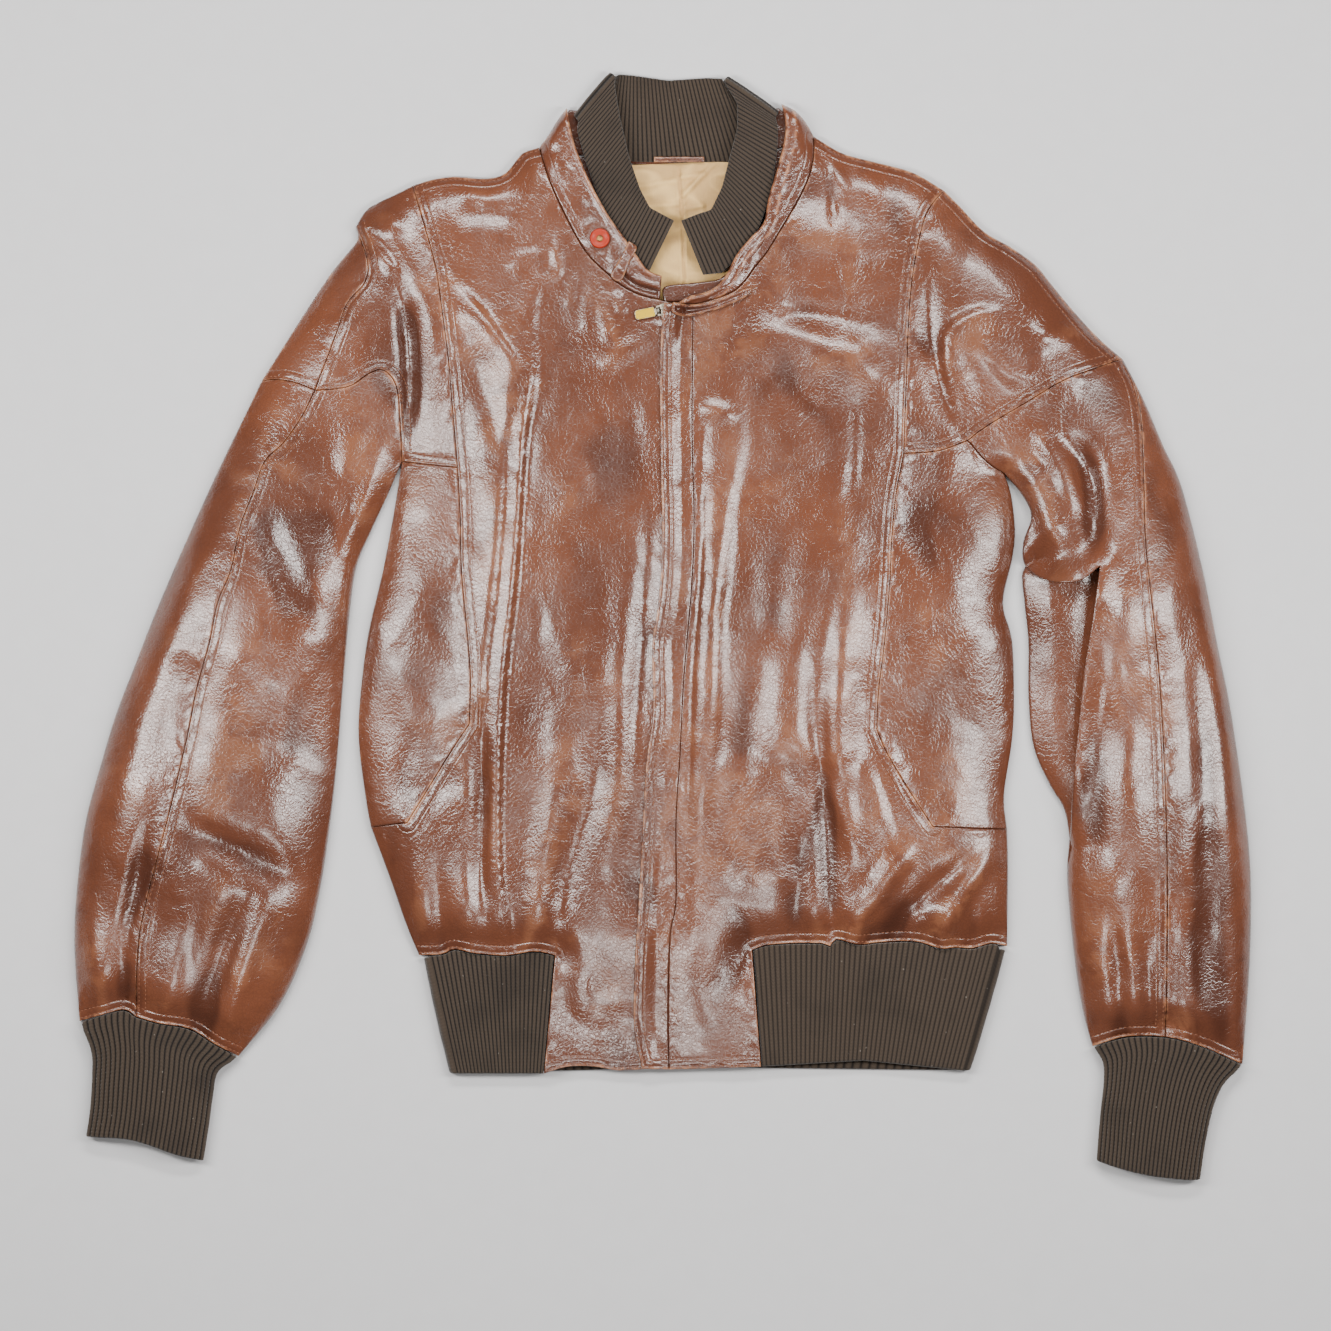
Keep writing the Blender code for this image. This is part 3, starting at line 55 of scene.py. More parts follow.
mm = 0.001
garment = {
    "pointSize": 0.00075,
    "middle": (662.5, 626.0),
    "leather": 0.0020,
    "shellThickness": 0.0016,
    "seamGap": 0.0003,
    "base": 0.0023,              # height of the front where it folds down on the back
    "steepest": 1.7,             # the most that a slope thickens a panel's upright measure
    "domeReach": 0.045,
    "domeSlope": 2.4,
    "domeCrown": 0.75,
    "leastRoom": 0.001,
    "heightSpread": 0.010,
    "hemReach": 0.016,
    "foldEnds": 0.15,
    "outlineStep": 0.0050,
    "gridStep": 0.0048,
    "rows": (0.0005, 0.0013, 0.0028, 0.0052, 0.0072, 0.0092),
}
seamLines = {
    "shoulderLeft": [(539, 148), (522, 154), (506, 173), (487, 179), (455, 177), (432, 180), (413, 186)],
    "shoulderTipLeft": [(413, 186), (397, 194), (378, 203), (365, 212), (356, 227)],
    "capLeft": [(356, 227), (358, 240), (331, 274), (298, 324), (262, 381)],
    "sleeveOuterLeft": [(262, 381), (240, 426), (214, 480), (186, 542), (158, 607), (136, 663),
                        (116, 715), (103, 758), (86, 821), (77, 891), (75, 950), (80, 1021)],
    "cuffSeamLeftA": [(80, 1021), (104, 1014), (125, 1009), (137, 1016)],
    "cuffSeamLeftB": [(137, 1016), (158, 1022), (190, 1028), (215, 1043), (239, 1056)],
    "sleeveInnerLeft": [(239, 1056), (280, 1005), (307, 945), (320, 891), (329, 834), (337, 765),
                        (344, 679), (350, 613), (357, 566), (372, 530), (388, 495), (402, 462)],
    "crossLeftA": [(262, 381), (277, 380), (295, 383), (316, 391)],
    "crossLeftB": [(316, 391), (335, 390), (353, 386), (369, 375), (384, 371), (397, 387), (401, 425),
                   (402, 462)],
    "longLeftA": [(356, 227), (368, 261), (366, 283), (348, 305), (338, 333), (316, 391)],
    "longLeftB": [(316, 391), (303, 417), (285, 443), (266, 462), (255, 492), (242, 527), (233, 570),
                  (220, 603), (212, 642), (199, 689), (188, 743), (171, 815), (147, 906), (140, 949),
                  (137, 1016)],
    "princessLeftA": [(413, 186), (422, 216), (436, 266), (443, 312), (449, 360), (453, 408), (458, 468)],
    "princessLeftB": [(458, 468), (461, 520), (462, 570), (468, 635), (471, 678), (470, 724)],
    "pocketLeft": [(470, 724), (455, 746), (432, 783), (408, 822)],
    "pocketBaseLeft": [(408, 822), (371, 827)],
    "yokeHemLeft": [(458, 468), (430, 465), (414, 463), (402, 462)],
    "sideLeftA": [(402, 462), (394, 512), (383, 570), (368, 635), (360, 700), (359, 743), (366, 800),
                  (371, 827)],
    "sideLeftB": [(371, 827), (390, 878), (405, 921), (419, 955)],
    "hemLeft": [(419, 955), (442, 954), (455, 949), (477, 953), (507, 955), (535, 951), (555, 955)],
    "tabLeft": [(555, 955), (544, 1073)],
    "tabHemLeft": [(544, 1073), (568, 1066), (594, 1066), (619, 1070), (651, 1068)],
    "throatLeft": [(673, 304), (660, 301)],
    "neckLeft": [(660, 301), (640, 296), (622, 287), (611, 278), (588, 256), (569, 224), (551, 185),
                 (539, 148)],
    "placketEdge": [(664, 304), (661, 335), (660, 387), (661, 473), (662, 549), (658, 604), (652, 647),
                    (653, 712), (646, 766), (642, 842), (638, 911), (635, 962), (634, 1026), (642, 1068)],
    "placketHem": [(642, 1068), (669, 1069)],
    "placketSeam": [(669, 1069), (668, 1013), (670, 937), (676, 900), (676, 820), (680, 755), (683, 690),
                    (687, 640), (692, 582), (694, 517), (692, 430), (693, 306)],
    "placketTopA": [(693, 306), (676, 305)],
    "placketTopB": [(676, 305), (664, 304)],
    "shoulderRight": [(814, 137), (830, 147), (846, 155), (877, 163), (913, 173), (944, 191)],
    "capRight": [(944, 191), (959, 206), (984, 232), (1010, 247), (1035, 265), (1050, 283), (1073, 311),
                 (1099, 339), (1122, 359)],
    "sleeveOuterRight": [(1122, 359), (1137, 387), (1147, 408), (1163, 446), (1181, 486), (1202, 568),
                         (1217, 644), (1230, 708), (1243, 797), (1250, 868), (1250, 944), (1246, 1015),
                         (1242, 1064)],
    "cuffSeamRightA": [(1092, 1046), (1120, 1037), (1142, 1035), (1164, 1036)],
    "cuffSeamRightB": [(1164, 1036), (1180, 1039), (1204, 1047), (1222, 1055), (1242, 1064)],
    "longRight": [(1122, 359), (1134, 385), (1140, 421), (1142, 484), (1143, 540), (1148, 593),
                  (1156, 670), (1161, 746), (1164, 842), (1165, 919), (1164, 1036)],
    "sleeveInnerRight": [(1092, 1046), (1082, 1008), (1074, 957), (1067, 880), (1069, 840), (1072, 772),
                         (1077, 721), (1082, 670), (1090, 619), (1097, 567)],
    "tongue": [(1097, 567), (1080, 580), (1060, 583), (1039, 578), (1024, 564), (1023, 542), (1031, 516),
               (1021, 494), (1004, 474)],
    "armholeRight": [(1004, 474), (986, 462), (967, 441)],
    "yokeHemRightA": [(903, 454), (925, 453), (943, 450), (967, 441)],
    "yokeHemRightB": [(967, 441), (984, 428), (1022, 405), (1061, 382), (1086, 372), (1122, 359)],
    "princessRightA": [(944, 191), (933, 203), (923, 222), (913, 268), (908, 319), (905, 395),
                       (903, 454)],
    "princessRightB": [(903, 454), (895, 497), (891, 540), (889, 582), (884, 640), (878, 690),
                       (876, 729)],
    "pocketRight": [(876, 729), (886, 752), (908, 789), (932, 826)],
    "pocketBaseRight": [(932, 826), (1007, 829)],
    "sideRightA": [(1004, 474), (1011, 495), (1015, 530), (1012, 560), (1003, 603), (1012, 640),
                   (1014, 695), (1012, 740), (1004, 795), (1007, 829)],
    "sideRightB": [(1007, 829), (1008, 868), (1007, 946)],
    "hemRight": [(1007, 946), (990, 943), (973, 948), (955, 947), (940, 948), (914, 941), (880, 942),
                 (859, 944), (836, 939), (830, 946), (822, 943), (791, 943), (765, 945), (752, 950)],
    "tabRight": [(752, 950), (761, 1066)],
    "tabHemRight": [(761, 1066), (735, 1067), (706, 1068), (669, 1069)],
    "neckRight": [(693, 306), (712, 301), (733, 293), (745, 282), (755, 268), (767, 253), (790, 215),
                  (806, 185), (813, 160), (814, 137)],
    "bandEndLeft": [(539, 148), (548, 136), (557, 121), (567, 108)],
    "bandFreeLeft": [(567, 108), (571, 130), (577, 151), (590, 182), (606, 212), (618, 230), (629, 245),
                     (638, 258), (648, 271), (662, 277)],
    "bandThroatLeft": [(662, 277), (660, 301)],
    "bandEndRight": [(814, 137), (806, 123), (795, 111), (781, 104)],
    "bandFreeRight": [(781, 104), (785, 131), (778, 165), (768, 199), (763, 224), (749, 240), (736, 256),
                      (728, 272), (719, 285), (706, 293), (690, 297), (676, 305)],
    "backHem": [(1007, 946), (800, 948.5), (600, 948.5), (419, 955)],
    "backNeck": [(539, 148), (631, 165), (729, 165), (814, 137)],
    "backBandTop": [(779, 108), (724, 113), (640, 115), (569, 110)],
    "backBandLeft": [(569, 110), (541, 147)],
    "backBandSeam": [(541, 147), (631, 164), (729, 164), (812, 136)],
    "backBandRight": [(812, 136), (779, 108)],
    "underSleeveEdge": [(1034, 560), (1022, 572), (1024, 603), (1028, 644), (1028, 695), (1033, 746),
                        (1049, 784), (1064, 810), (1070, 846)],
    "underSleeveReturn": [(1070, 846), (1080, 838), (1083, 772), (1088, 721), (1093, 670), (1101, 619),
                          (1106, 572)],
    "underSleeveTop": [(1106, 572), (1070, 566), (1034, 560)],
    "facingEdge": [(664, 303), (664, 288), (690, 284), (716, 281), (727, 275), (733, 281), (722, 291),
                   (708, 298), (690, 302), (677, 303), (664, 303)],
    "latchEdge": [(673, 304), (690, 306), (712, 303), (735, 294), (751, 289), (746, 298), (722, 309),
                  (702, 315), (684, 318), (672, 314), (673, 304)],
    "keeperEdge": [(629, 243), (637, 249), (630, 263), (621, 282), (611, 277), (620, 260), (629, 243)],
    "liningEdge": [(610, 165.5), (750, 165.5), (752, 210), (735, 262), (712, 300), (655, 300), (628, 262),
                   (607, 210), (610, 165.5)],
}
panelSeams = {
    "yoke_left": ["princessLeftA", "yokeHemLeft", "-crossLeftB", "-longLeftA", "-shoulderTipLeft"],
    "yoke_left_back": ["capLeft", "crossLeftA", "-longLeftA"],
    "sleeve_left_outer": ["sleeveOuterLeft", "cuffSeamLeftA", "-longLeftB", "-crossLeftA"],
    "sleeve_left_upper": ["longLeftB", "cuffSeamLeftB", "sleeveInnerLeft", "-crossLeftB"],
    "side_left": ["princessLeftB", "pocketLeft", "pocketBaseLeft", "-sideLeftA", "-yokeHemLeft"],
    "front_left": ["princessLeftA", "princessLeftB", "pocketLeft", "pocketBaseLeft", "sideLeftB",
                   "hemLeft", "tabLeft", "tabHemLeft", "-placketEdge>", "throatLeft", "neckLeft",
                   "shoulderLeft"],
    "placket": ["placketEdge", "placketHem", "placketSeam", "placketTopA", "placketTopB"],
    "front_right": ["-placketSeam", "-tabHemRight", "-tabRight", "-hemRight", "-sideRightB",
                    "-pocketBaseRight", "-pocketRight", "-princessRightB", "-princessRightA",
                    "-shoulderRight", "-neckRight"],
    "side_right": ["princessRightB", "pocketRight", "pocketBaseRight", "-sideRightA", "armholeRight",
                   "-yokeHemRightA"],
    "yoke_right": ["princessRightA", "yokeHemRightA", "yokeHemRightB", "-capRight"],
    "sleeve_right_upper": ["yokeHemRightB", "longRight", "-cuffSeamRightA", "sleeveInnerRight", "tongue",
                           "armholeRight"],
    "sleeve_right_outer": ["sleeveOuterRight", "-cuffSeamRightB", "-longRight"],
    "back_panel": ["shoulderLeft", "shoulderTipLeft", "capLeft", "crossLeftA", "crossLeftB", "sideLeftA",
                   "sideLeftB", "-backHem", "-sideRightB", "-sideRightA", "armholeRight", "yokeHemRightB",
                   "-capRight", "-shoulderRight", "-backNeck"],
    "sleeve_left_back": ["sleeveOuterLeft", "cuffSeamLeftA", "cuffSeamLeftB", "sleeveInnerLeft",
                         "-crossLeftB", "-crossLeftA"],
    "sleeve_right_back": ["yokeHemRightB", "sleeveOuterRight", "-cuffSeamRightB", "-cuffSeamRightA",
                          "sleeveInnerRight", "tongue", "armholeRight"],
    "band_left": ["neckLeft", "bandEndLeft", "bandFreeLeft", "bandThroatLeft"],
    "band_right": ["-placketTopA", "neckRight", "bandEndRight", "bandFreeRight"],
    "band_back": ["backBandTop", "backBandLeft", "backBandSeam", "backBandRight"],
    "sleeve_right_under": ["underSleeveEdge", "underSleeveReturn", "underSleeveTop"],
}
sideFolds = ["shoulderLeft", "shoulderTipLeft", "capLeft", "sleeveOuterLeft", "sleeveInnerLeft",
             "sideLeftA", "sideLeftB", "shoulderRight", "capRight", "sleeveOuterRight", "sideRightA",
             "sideRightB", "underSleeveEdge"]

# How high the inside of the front stands, in millimetres, at places inside the outline.
heights = {
    (520, 380): 18, (800, 380): 20, (520, 700): 18, (780, 700): 20, (480, 900): 17,
    (880, 900): 18, (600, 880): 15, (700, 880): 15, (600, 1040): 7.8, (710, 1040): 7.8,
    (480, 240): 16, (640, 340): 19, (720, 340): 19, (880, 240): 17, (590, 270): 17,
    (780, 260): 17, (1040, 340): 24, (360, 320): 21, (250, 620): 30, (200, 840): 31,
    (140, 960): 23, (1150, 600): 32, (1160, 840): 31, (1160, 980): 24, (400, 440): 12,
    (1000, 450): 15, (400, 740): 15, (970, 740): 15,
}
drawnIn = {"hemLeft": 7.6, "hemRight": 7.6, "cuffSeamLeftA": 12, "cuffSeamLeftB": 12,
           "cuffSeamRightA": 12, "cuffSeamRightB": 12}
lowSleeveFold = [(1070, 846), (1067, 880), (1074, 957), (1082, 1008), (1092, 1046)]

# Folds and creases: the line of the crest or trough, its rise and its reach to the left and right of the line
# as it runs, all in millimetres.
folds = {
    "frontLeftCrease": ([(543, 250), (537, 290), (531, 330), (531, 374), (522, 441), (513, 570), (500, 700),
                         (497, 852), (507, 945), (512, 1040)], 7.0, 3.4, 30),
    "frontLeftCreaseFoot": ([(529, 300), (520, 374), (511, 441), (501, 570), (487, 700), (484, 852),
                             (492, 945), (496, 1000)], -3.2, 12, 4),
    "frontLeftCrook": ([(536, 284), (556, 277), (559, 265), (555, 249), (555, 229)], 1.6, 4, 3),
    "frontLeftTrough": ([(479, 700), (481, 808), (479, 873), (478, 948)], -6, 7, 7),
    "frontLeftSecond": ([(628, 540), (622, 660), (622, 780), (606, 863), (598, 960)], 3.6, 13, 12),
    "frontLeftBelly": ([(590, 470), (580, 560), (572, 660), (566, 780), (560, 900)], 2.6, 26, 26),
    "frontLeftShade": ([(600, 700), (592, 780), (570, 860), (556, 950)], -3.0, 9, 12),
    "frontLeftLowCrest": ([(560, 760), (548, 840), (536, 930), (532, 1000)], 3.2, 8, 10),
    "placketEdgeHollow": ([(650, 470), (648, 560), (640, 660), (632, 760), (628, 860)], -2.6, 9, 7),
    "frontLeftChest": ([(455, 285), (485, 322), (505, 350), (520, 372), (529, 374)], 3.2, 4, 15),
    "frontLeftChestHollow": ([(470, 345), (486, 392), (500, 440), (505, 500)], -2.5, 9, 9),
    "shoulderLeftBump": ([(452, 190), (470, 193), (486, 199), (497, 193), (512, 178)], 2.4, 6, 7),
    "shoulderLeftHollow": ([(455, 222), (480, 214), (505, 216), (525, 208)], -2.0, 7, 8),
    "frontLeftNeckA": ([(587, 284), (586, 334)], 1.6, 4, 3),
    "frontLeftNeckB": ([(574, 272), (570, 312)], 1.0, 4, 4),
    "frontLeftNeckC": ([(598, 284), (606, 322), (612, 350)], 1.2, 4, 4),
    "frontLeftNeckD": ([(615, 292), (624, 318)], 1.4, 4, 4),
    "frontLeftDiagonal": ([(600, 372), (628, 352), (654, 338)], 1.6, 8, 8),
    "frontLeftArc": ([(508, 274), (519, 261), (551, 254)], 1.6, 6, 6),
    "yokeLeftTrough": ([(398, 276), (406, 322), (410, 376), (407, 430), (403, 458)], -8, 8, 6),
    "yokeLeftBand": ([(391, 207), (405, 243), (423, 290), (436, 336), (442, 380)], 2.6, 12, 9),
    "shoulderTipRidge": ([(359, 226), (374, 245), (394, 271), (400, 280)], 3.4, 3, 6),
    "shoulderTipBump": ([(372, 222), (390, 216), (396, 238)], 2.4, 7, 6),
    "yokeLeftSlope": ([(330, 350), (352, 318), (372, 284)], 2.5, 12, 12),
    "yokeBackFold": ([(346, 262), (326, 300), (300, 350)], 2.0, 8, 8),
    "chestArc": ([(735, 372), (745, 352), (767, 338), (798, 341), (830, 354), (861, 366), (883, 386),
                  (892, 424)], 3.6, 14, 20),
    "chestArcLow": ([(752, 392), (794, 404), (827, 412), (880, 420)], -1.6, 16, 16),
    "chestBandA": ([(752, 305), (800, 312), (850, 318), (905, 330)], -2.6, 9, 13),
    "chestBandB": ([(775, 238), (815, 240), (850, 246), (890, 262)], 2.2, 14, 14),
    "chestBandC": ([(770, 205), (810, 196), (850, 204), (900, 222)], -1.6, 12, 12),
    "neckDart": ([(829, 148), (833, 207), (836, 245)], -1.8, 3, 4),
    "neckDartRidge": ([(822, 140), (838, 176), (853, 212)], 1.8, 5, 4),
    "chestLine": ([(857, 395), (855, 450), (850, 520)], -1.8, 5, 6),
    "placketTrough": ([(704, 380), (702, 470), (700, 560), (692, 668), (689, 755), (685, 885), (684, 980)],
                      -3.2, 5, 8),
    "frontRightRidge": ([(742, 400), (736, 440), (724, 517), (713, 610), (710, 712), (702, 800),
                         (698, 900)], 4.8, 7, 24),
    "frontRightBump": ([(694, 412), (716, 410), (738, 422)], 2.2, 6, 9),
    "frontRightLongHollow": ([(806, 470), (786, 540), (766, 630), (754, 720), (742, 820)], -2.6, 20, 18),
    "frontRightLongRidge": ([(830, 500), (806, 600), (786, 700), (776, 800), (768, 920), (764, 990)],
                            3.2, 16, 20),
    "frontRightLowRidge": ([(850, 560), (842, 650), (838, 750), (852, 810), (872, 860)], 4.6, 13, 10),
    "frontRightPit": ([(812, 640), (816, 720), (821, 770), (826, 830), (830, 943), (832, 1000)], -5.0, 9, 7),
    "frontRightDown": ([(826, 770), (846, 822), (858, 872)], 2.6, 7, 7),
    "frontRightDownB": ([(862, 752), (878, 806), (888, 850)], 2.4, 7, 7),
    "frontRightSwirl": ([(916, 832), (898, 862), (878, 890), (858, 924), (852, 980)], 4.4, 8, 11),
    "frontRightSlant": ([(984, 850), (936, 886), (900, 926), (888, 985)], -4.6, 8, 9),
    "frontRightBright": ([(1000, 836), (966, 886), (946, 922), (942, 985)], 4.4, 7, 8),
    "frontRightNotch": ([(968, 880), (972, 948), (974, 1000)], -3.6, 6, 6),
    "pocketRightFold": ([(880, 742), (902, 800), (926, 846)], 2.4, 6, 8),
    "yokeRightRidge": ([(1010, 318), (981, 315), (951, 332), (947, 359), (952, 390), (961, 417), (968, 436)],
                       3.6, 15, 5),
    "yokeRightSecond": ([(957, 341), (984, 350), (1012, 376), (1040, 384)], 2.6, 7, 8),
    "yokeRightTrough": ([(930, 267), (928, 323), (938, 380), (955, 428)], -3.6, 9, 8),
    "yokeRightCap": ([(1098, 345), (1062, 336), (1020, 336)], 3, 9, 9),
    "armpitTrough": ([(1062, 430), (1086, 470), (1093, 520), (1092, 565)], -8, 9, 9),
    "armpitRidge": ([(990, 445), (1030, 480), (1052, 530), (1056, 575)], 5, 9, 9),
    "armpitSwirl": ([(1030, 425), (1060, 470), (1072, 520)], 3, 8, 8),
    "sleeveLeftUpperTrough": ([(252, 500), (285, 575), (322, 640)], -5, 15, 15),
    "sleeveLeftLowerTrough": ([(176, 822), (240, 852), (308, 892)], -6, 15, 15),
    "sleeveLeftHemFold": ([(250, 880), (222, 960), (200, 1030), (190, 1090)], -5.5, 11, 11),
    "sleeveLeftHemRidge": ([(276, 880), (248, 950), (226, 1035), (214, 1090)], 3.6, 9, 10),
    "sleeveLeftHemCrest": ([(190, 900), (176, 960), (168, 1020), (164, 1080)], 3.6, 8, 8),
    "sleeveLeftSeamTrough": ([(158, 790), (140, 880), (126, 940), (126, 1000), (126, 1070)], -5, 8, 8),
    "sleeveLeftSheen": ([(262, 600), (232, 700), (208, 800)], 3.0, 22, 22),
    "sleeveLeftInner": ([(383, 440), (372, 483), (350, 542), (346, 579), (342, 646)], 4, 9, 6),
    "sleeveLeftOuterRidge": ([(214, 520), (180, 620), (146, 720), (120, 810)], 2.5, 12, 12),
    "sleeveLeftFoot": ([(94, 900), (98, 960), (104, 1010), (108, 1070)], 3.0, 8, 8),
    "sleeveRightTrough": ([(1176, 560), (1196, 690), (1204, 816), (1207, 919), (1206, 1040), (1206, 1120)],
                          -5, 11, 11),
    "sleeveRightRidge": ([(1112, 500), (1120, 600), (1124, 720), (1128, 840), (1124, 960)], 3.6, 18, 16),
    "sleeveRightRidgeB": ([(1190, 480), (1214, 620), (1228, 760), (1234, 880)], 2.6, 10, 12),
    "sleeveRightInner": ([(1096, 640), (1092, 760), (1090, 860), (1096, 950)], -2.2, 8, 8),
    "sleeveRightGatherA": ([(1108, 890), (1116, 970), (1122, 1038), (1124, 1100)], -4, 7, 7),
    "sleeveRightGatherB": ([(1142, 930), (1146, 990), (1148, 1034), (1150, 1100)], -3.6, 6, 6),
    "sleeveRightGatherC": ([(1184, 900), (1184, 980), (1184, 1039), (1184, 1110)], 3, 7, 7),
    "sleeveRightGatherD": ([(1222, 920), (1222, 990), (1222, 1052), (1222, 1120)], -3, 7, 7),
    "hemLeftGatherA": ([(436, 850), (444, 950), (448, 1010)], -2.8, 8, 8),
    "hemLeftGatherB": ([(470, 860), (472, 948), (474, 1010)], 2.6, 8, 8),
    "hemLeftRidge": ([(420, 850), (425, 950), (428, 1010)], 2.4, 7, 7),
    "tabLeftFold": ([(575, 900), (580, 980), (588, 1050)], 1.6, 9, 9),
    "hemRightGatherA": ([(800, 820), (796, 940), (794, 1010)], -3.0, 9, 9),
    "hemRightGatherB": ([(862, 880), (866, 940), (868, 1000)], -2.4, 6, 6),
    "hemRightGatherC": ([(918, 890), (910, 940), (906, 1000)], 2.6, 6, 6),
}


def plan(points):
    points = np.asarray(points, float).reshape(-1, 2)
    across = (points[:, 0] - garment["middle"][0]) * garment["pointSize"]
    up = (garment["middle"][1] - points[:, 1]) * garment["pointSize"]
    return np.stack([across, up], 1)


def smoothLine(points, step):
    # a Catmull-Rom curve through the points
    knots = np.vstack([2 * points[0] - points[1], points, 2 * points[-1] - points[-2]])
    line = []
    for a, b, c, d in zip(knots[:-3], knots[1:-2], knots[2:-1], knots[3:]):
        count = max(1, math.ceil(np.linalg.norm(c - b) / step))
        for t in np.arange(count) / count:
            line.append(0.5 * (2 * b + (c - a) * t + (2 * a - 5 * b + 4 * c - d) * t**2
                               + (3 * b - a - 3 * c + d) * t**3))
    line.append(points[-1])
    return np.array(line)


def seamLine(name, step):
    points = plan(seamLines[name.strip("->")])
    if name.endswith(">"):
        points = points + (placket["overlap"], 0)
    line = smoothLine(points, step)
    return line[::-1] if name.startswith("-") else line


def loopOf(names, step=garment["outlineStep"]):
    loop = []
    for name in names:
        line = seamLine(name, step)
        if loop and np.linalg.norm(line[0] - loop[-1]) > np.linalg.norm(line[-1] - loop[-1]):
            line = line[::-1]
        loop += list(line[1:] if loop and np.linalg.norm(line[0] - loop[-1]) < 1e-6 else line)
    if np.linalg.norm(loop[0] - loop[-1]) < 1e-6:
        loop.pop()
    loop = np.array(loop)
    after = np.roll(loop, -1, 0)
    area = (loop[:, 0] * after[:, 1] - loop[:, 1] * after[:, 0]).sum()
    return loop if area > 0 else loop[::-1]


def insetLoop(loop, distance):
    before = loop - np.roll(loop, 1, 0)
    after = np.roll(loop, -1, 0) - loop
    before /= np.linalg.norm(before, axis=1)[:, None]
    after /= np.linalg.norm(after, axis=1)[:, None]
    inBefore = np.stack([-before[:, 1], before[:, 0]], 1)
    inAfter = np.stack([-after[:, 1], after[:, 0]], 1)
    turn = 1 + (inBefore * inAfter).sum(1)
    return loop + distance * (inBefore + inAfter) / np.maximum(turn, 0.25)[:, None]


def nearestOn(points, line):
    # the distance to a line, how far along it, its length, and 1 or -1 for its left or right side
    starts, spans = line[:-1], line[1:] - line[:-1]
    lengths = np.maximum(np.linalg.norm(spans, axis=1), 1e-9)
    before = np.concatenate([[0], np.cumsum(lengths)])
    found = []
    for chunk in np.array_split(points, max(1, len(points) * len(starts) // 600000 + 1)):
        away = chunk[:, None] - starts
        along = np.clip((away * spans).sum(2) / lengths**2, 0, 1)
        gaps = away - along[..., None] * spans
        distances = np.sqrt((gaps**2).sum(2))
        best = distances.argmin(1)
        rows = np.arange(len(chunk))
        turn = spans[best, 0] * away[rows, best, 1] - spans[best, 1] * away[rows, best, 0]
        found.append(np.stack([distances[rows, best], before[best] + along[rows, best] * lengths[best],
                               np.sign(turn)], 1))
    found = np.vstack(found)
    return found[:, 0], found[:, 1], before[-1], found[:, 2]


def soften(value):
    value = np.clip(value, 0, 1)
    return value * value * (3 - 2 * value)


def dome(distance, reach):
    share = np.clip(distance / reach, 0, 1)
    return (1 - (1 - share) ** garment["domeSlope"]) ** garment["domeCrown"]


def roughness(points, size, seed):
    # smooth noise over the plan, about -1 to 1, with features of the given size
    return np.array([noise.noise(Vector((x / size, y / size, seed))) for x, y in points])


def foldSum(points, table):
    total = np.zeros(len(points))
    for line, rise, left, right in table.values():
        path = smoothLine(plan(line), 0.008)
        reach = 3 * max(left, right) * mm
        near = ((points > path.min(0) - reach) & (points < path.max(0) + reach)).all(1)
        if not near.any():
            continue
        distance, travelled, length, side = nearestOn(points[near], path)
        width = np.where(side > 0, left, right) * mm
        taper = np.maximum(0.42 * length, (left + right) * mm)
        ends = soften(np.minimum(travelled, length - travelled) / taper + garment["foldEnds"])
        total[near] += rise * mm * ends * np.exp(-((distance / width) ** 2))
    return total


def hollowHeight(points):
    # the height of the front's lower surface, and the part of it that the folds make
    places = plan(list(heights))
    values = np.array(list(heights.values())) * mm
    away = np.linalg.norm(points[:, None] - places, axis=2) + garment["heightSpread"]
    weights = away**-3.0
    height = (weights * values).sum(1) / weights.sum(1)
    for name, level in drawnIn.items():
        pull = np.exp(-((nearestOn(points, seamLine(name, 0.010))[0] / garment["hemReach"]) ** 2))
        height = height * (1 - pull) + level * mm * pull
    folded = foldSum(points, folds)
    side = nearestOn(points, smoothLine(plan(lowSleeveFold), 0.012))[0]
    for name in sideFolds:
        side = np.minimum(side, nearestOn(points, seamLine(name, 0.012))[0])
    height = height + folded
    room = np.maximum(height - garment["base"], garment["leastRoom"])
    share = dome(side, garment["domeReach"])
    return garment["base"] + room * share, folded, share


def isInside(points, loop):
    inside = np.zeros(len(points), bool)
    for start, end in zip(loop, np.roll(loop, -1, 0)):
        crosses = (start[1] > points[:, 1]) != (end[1] > points[:, 1])
        if crosses.any():
            at = start[0] + (points[:, 1] - start[1]) * (end[0] - start[0]) / (end[1] - start[1] or 1e-12)
            inside ^= crosses & (points[:, 0] < at)
    return inside


def sparse(points, kept, space):
    # the points that lie at least the space from each other and from the kept ones
    cells = {}
    for x, y in kept:
        cells.setdefault((int(x // space), int(y // space)), []).append((x, y))
    chosen = []
    for x, y in points:
        column, row = int(x // space), int(y // space)
        near = [p for i in (-1, 0, 1) for j in (-1, 0, 1) for p in cells.get((column + i, row + j), [])]
        if all((p[0] - x) ** 2 + (p[1] - y) ** 2 > space * space for p in near):
            cells.setdefault((column, row), []).append((x, y))
            chosen.append((x, y))
    return chosen


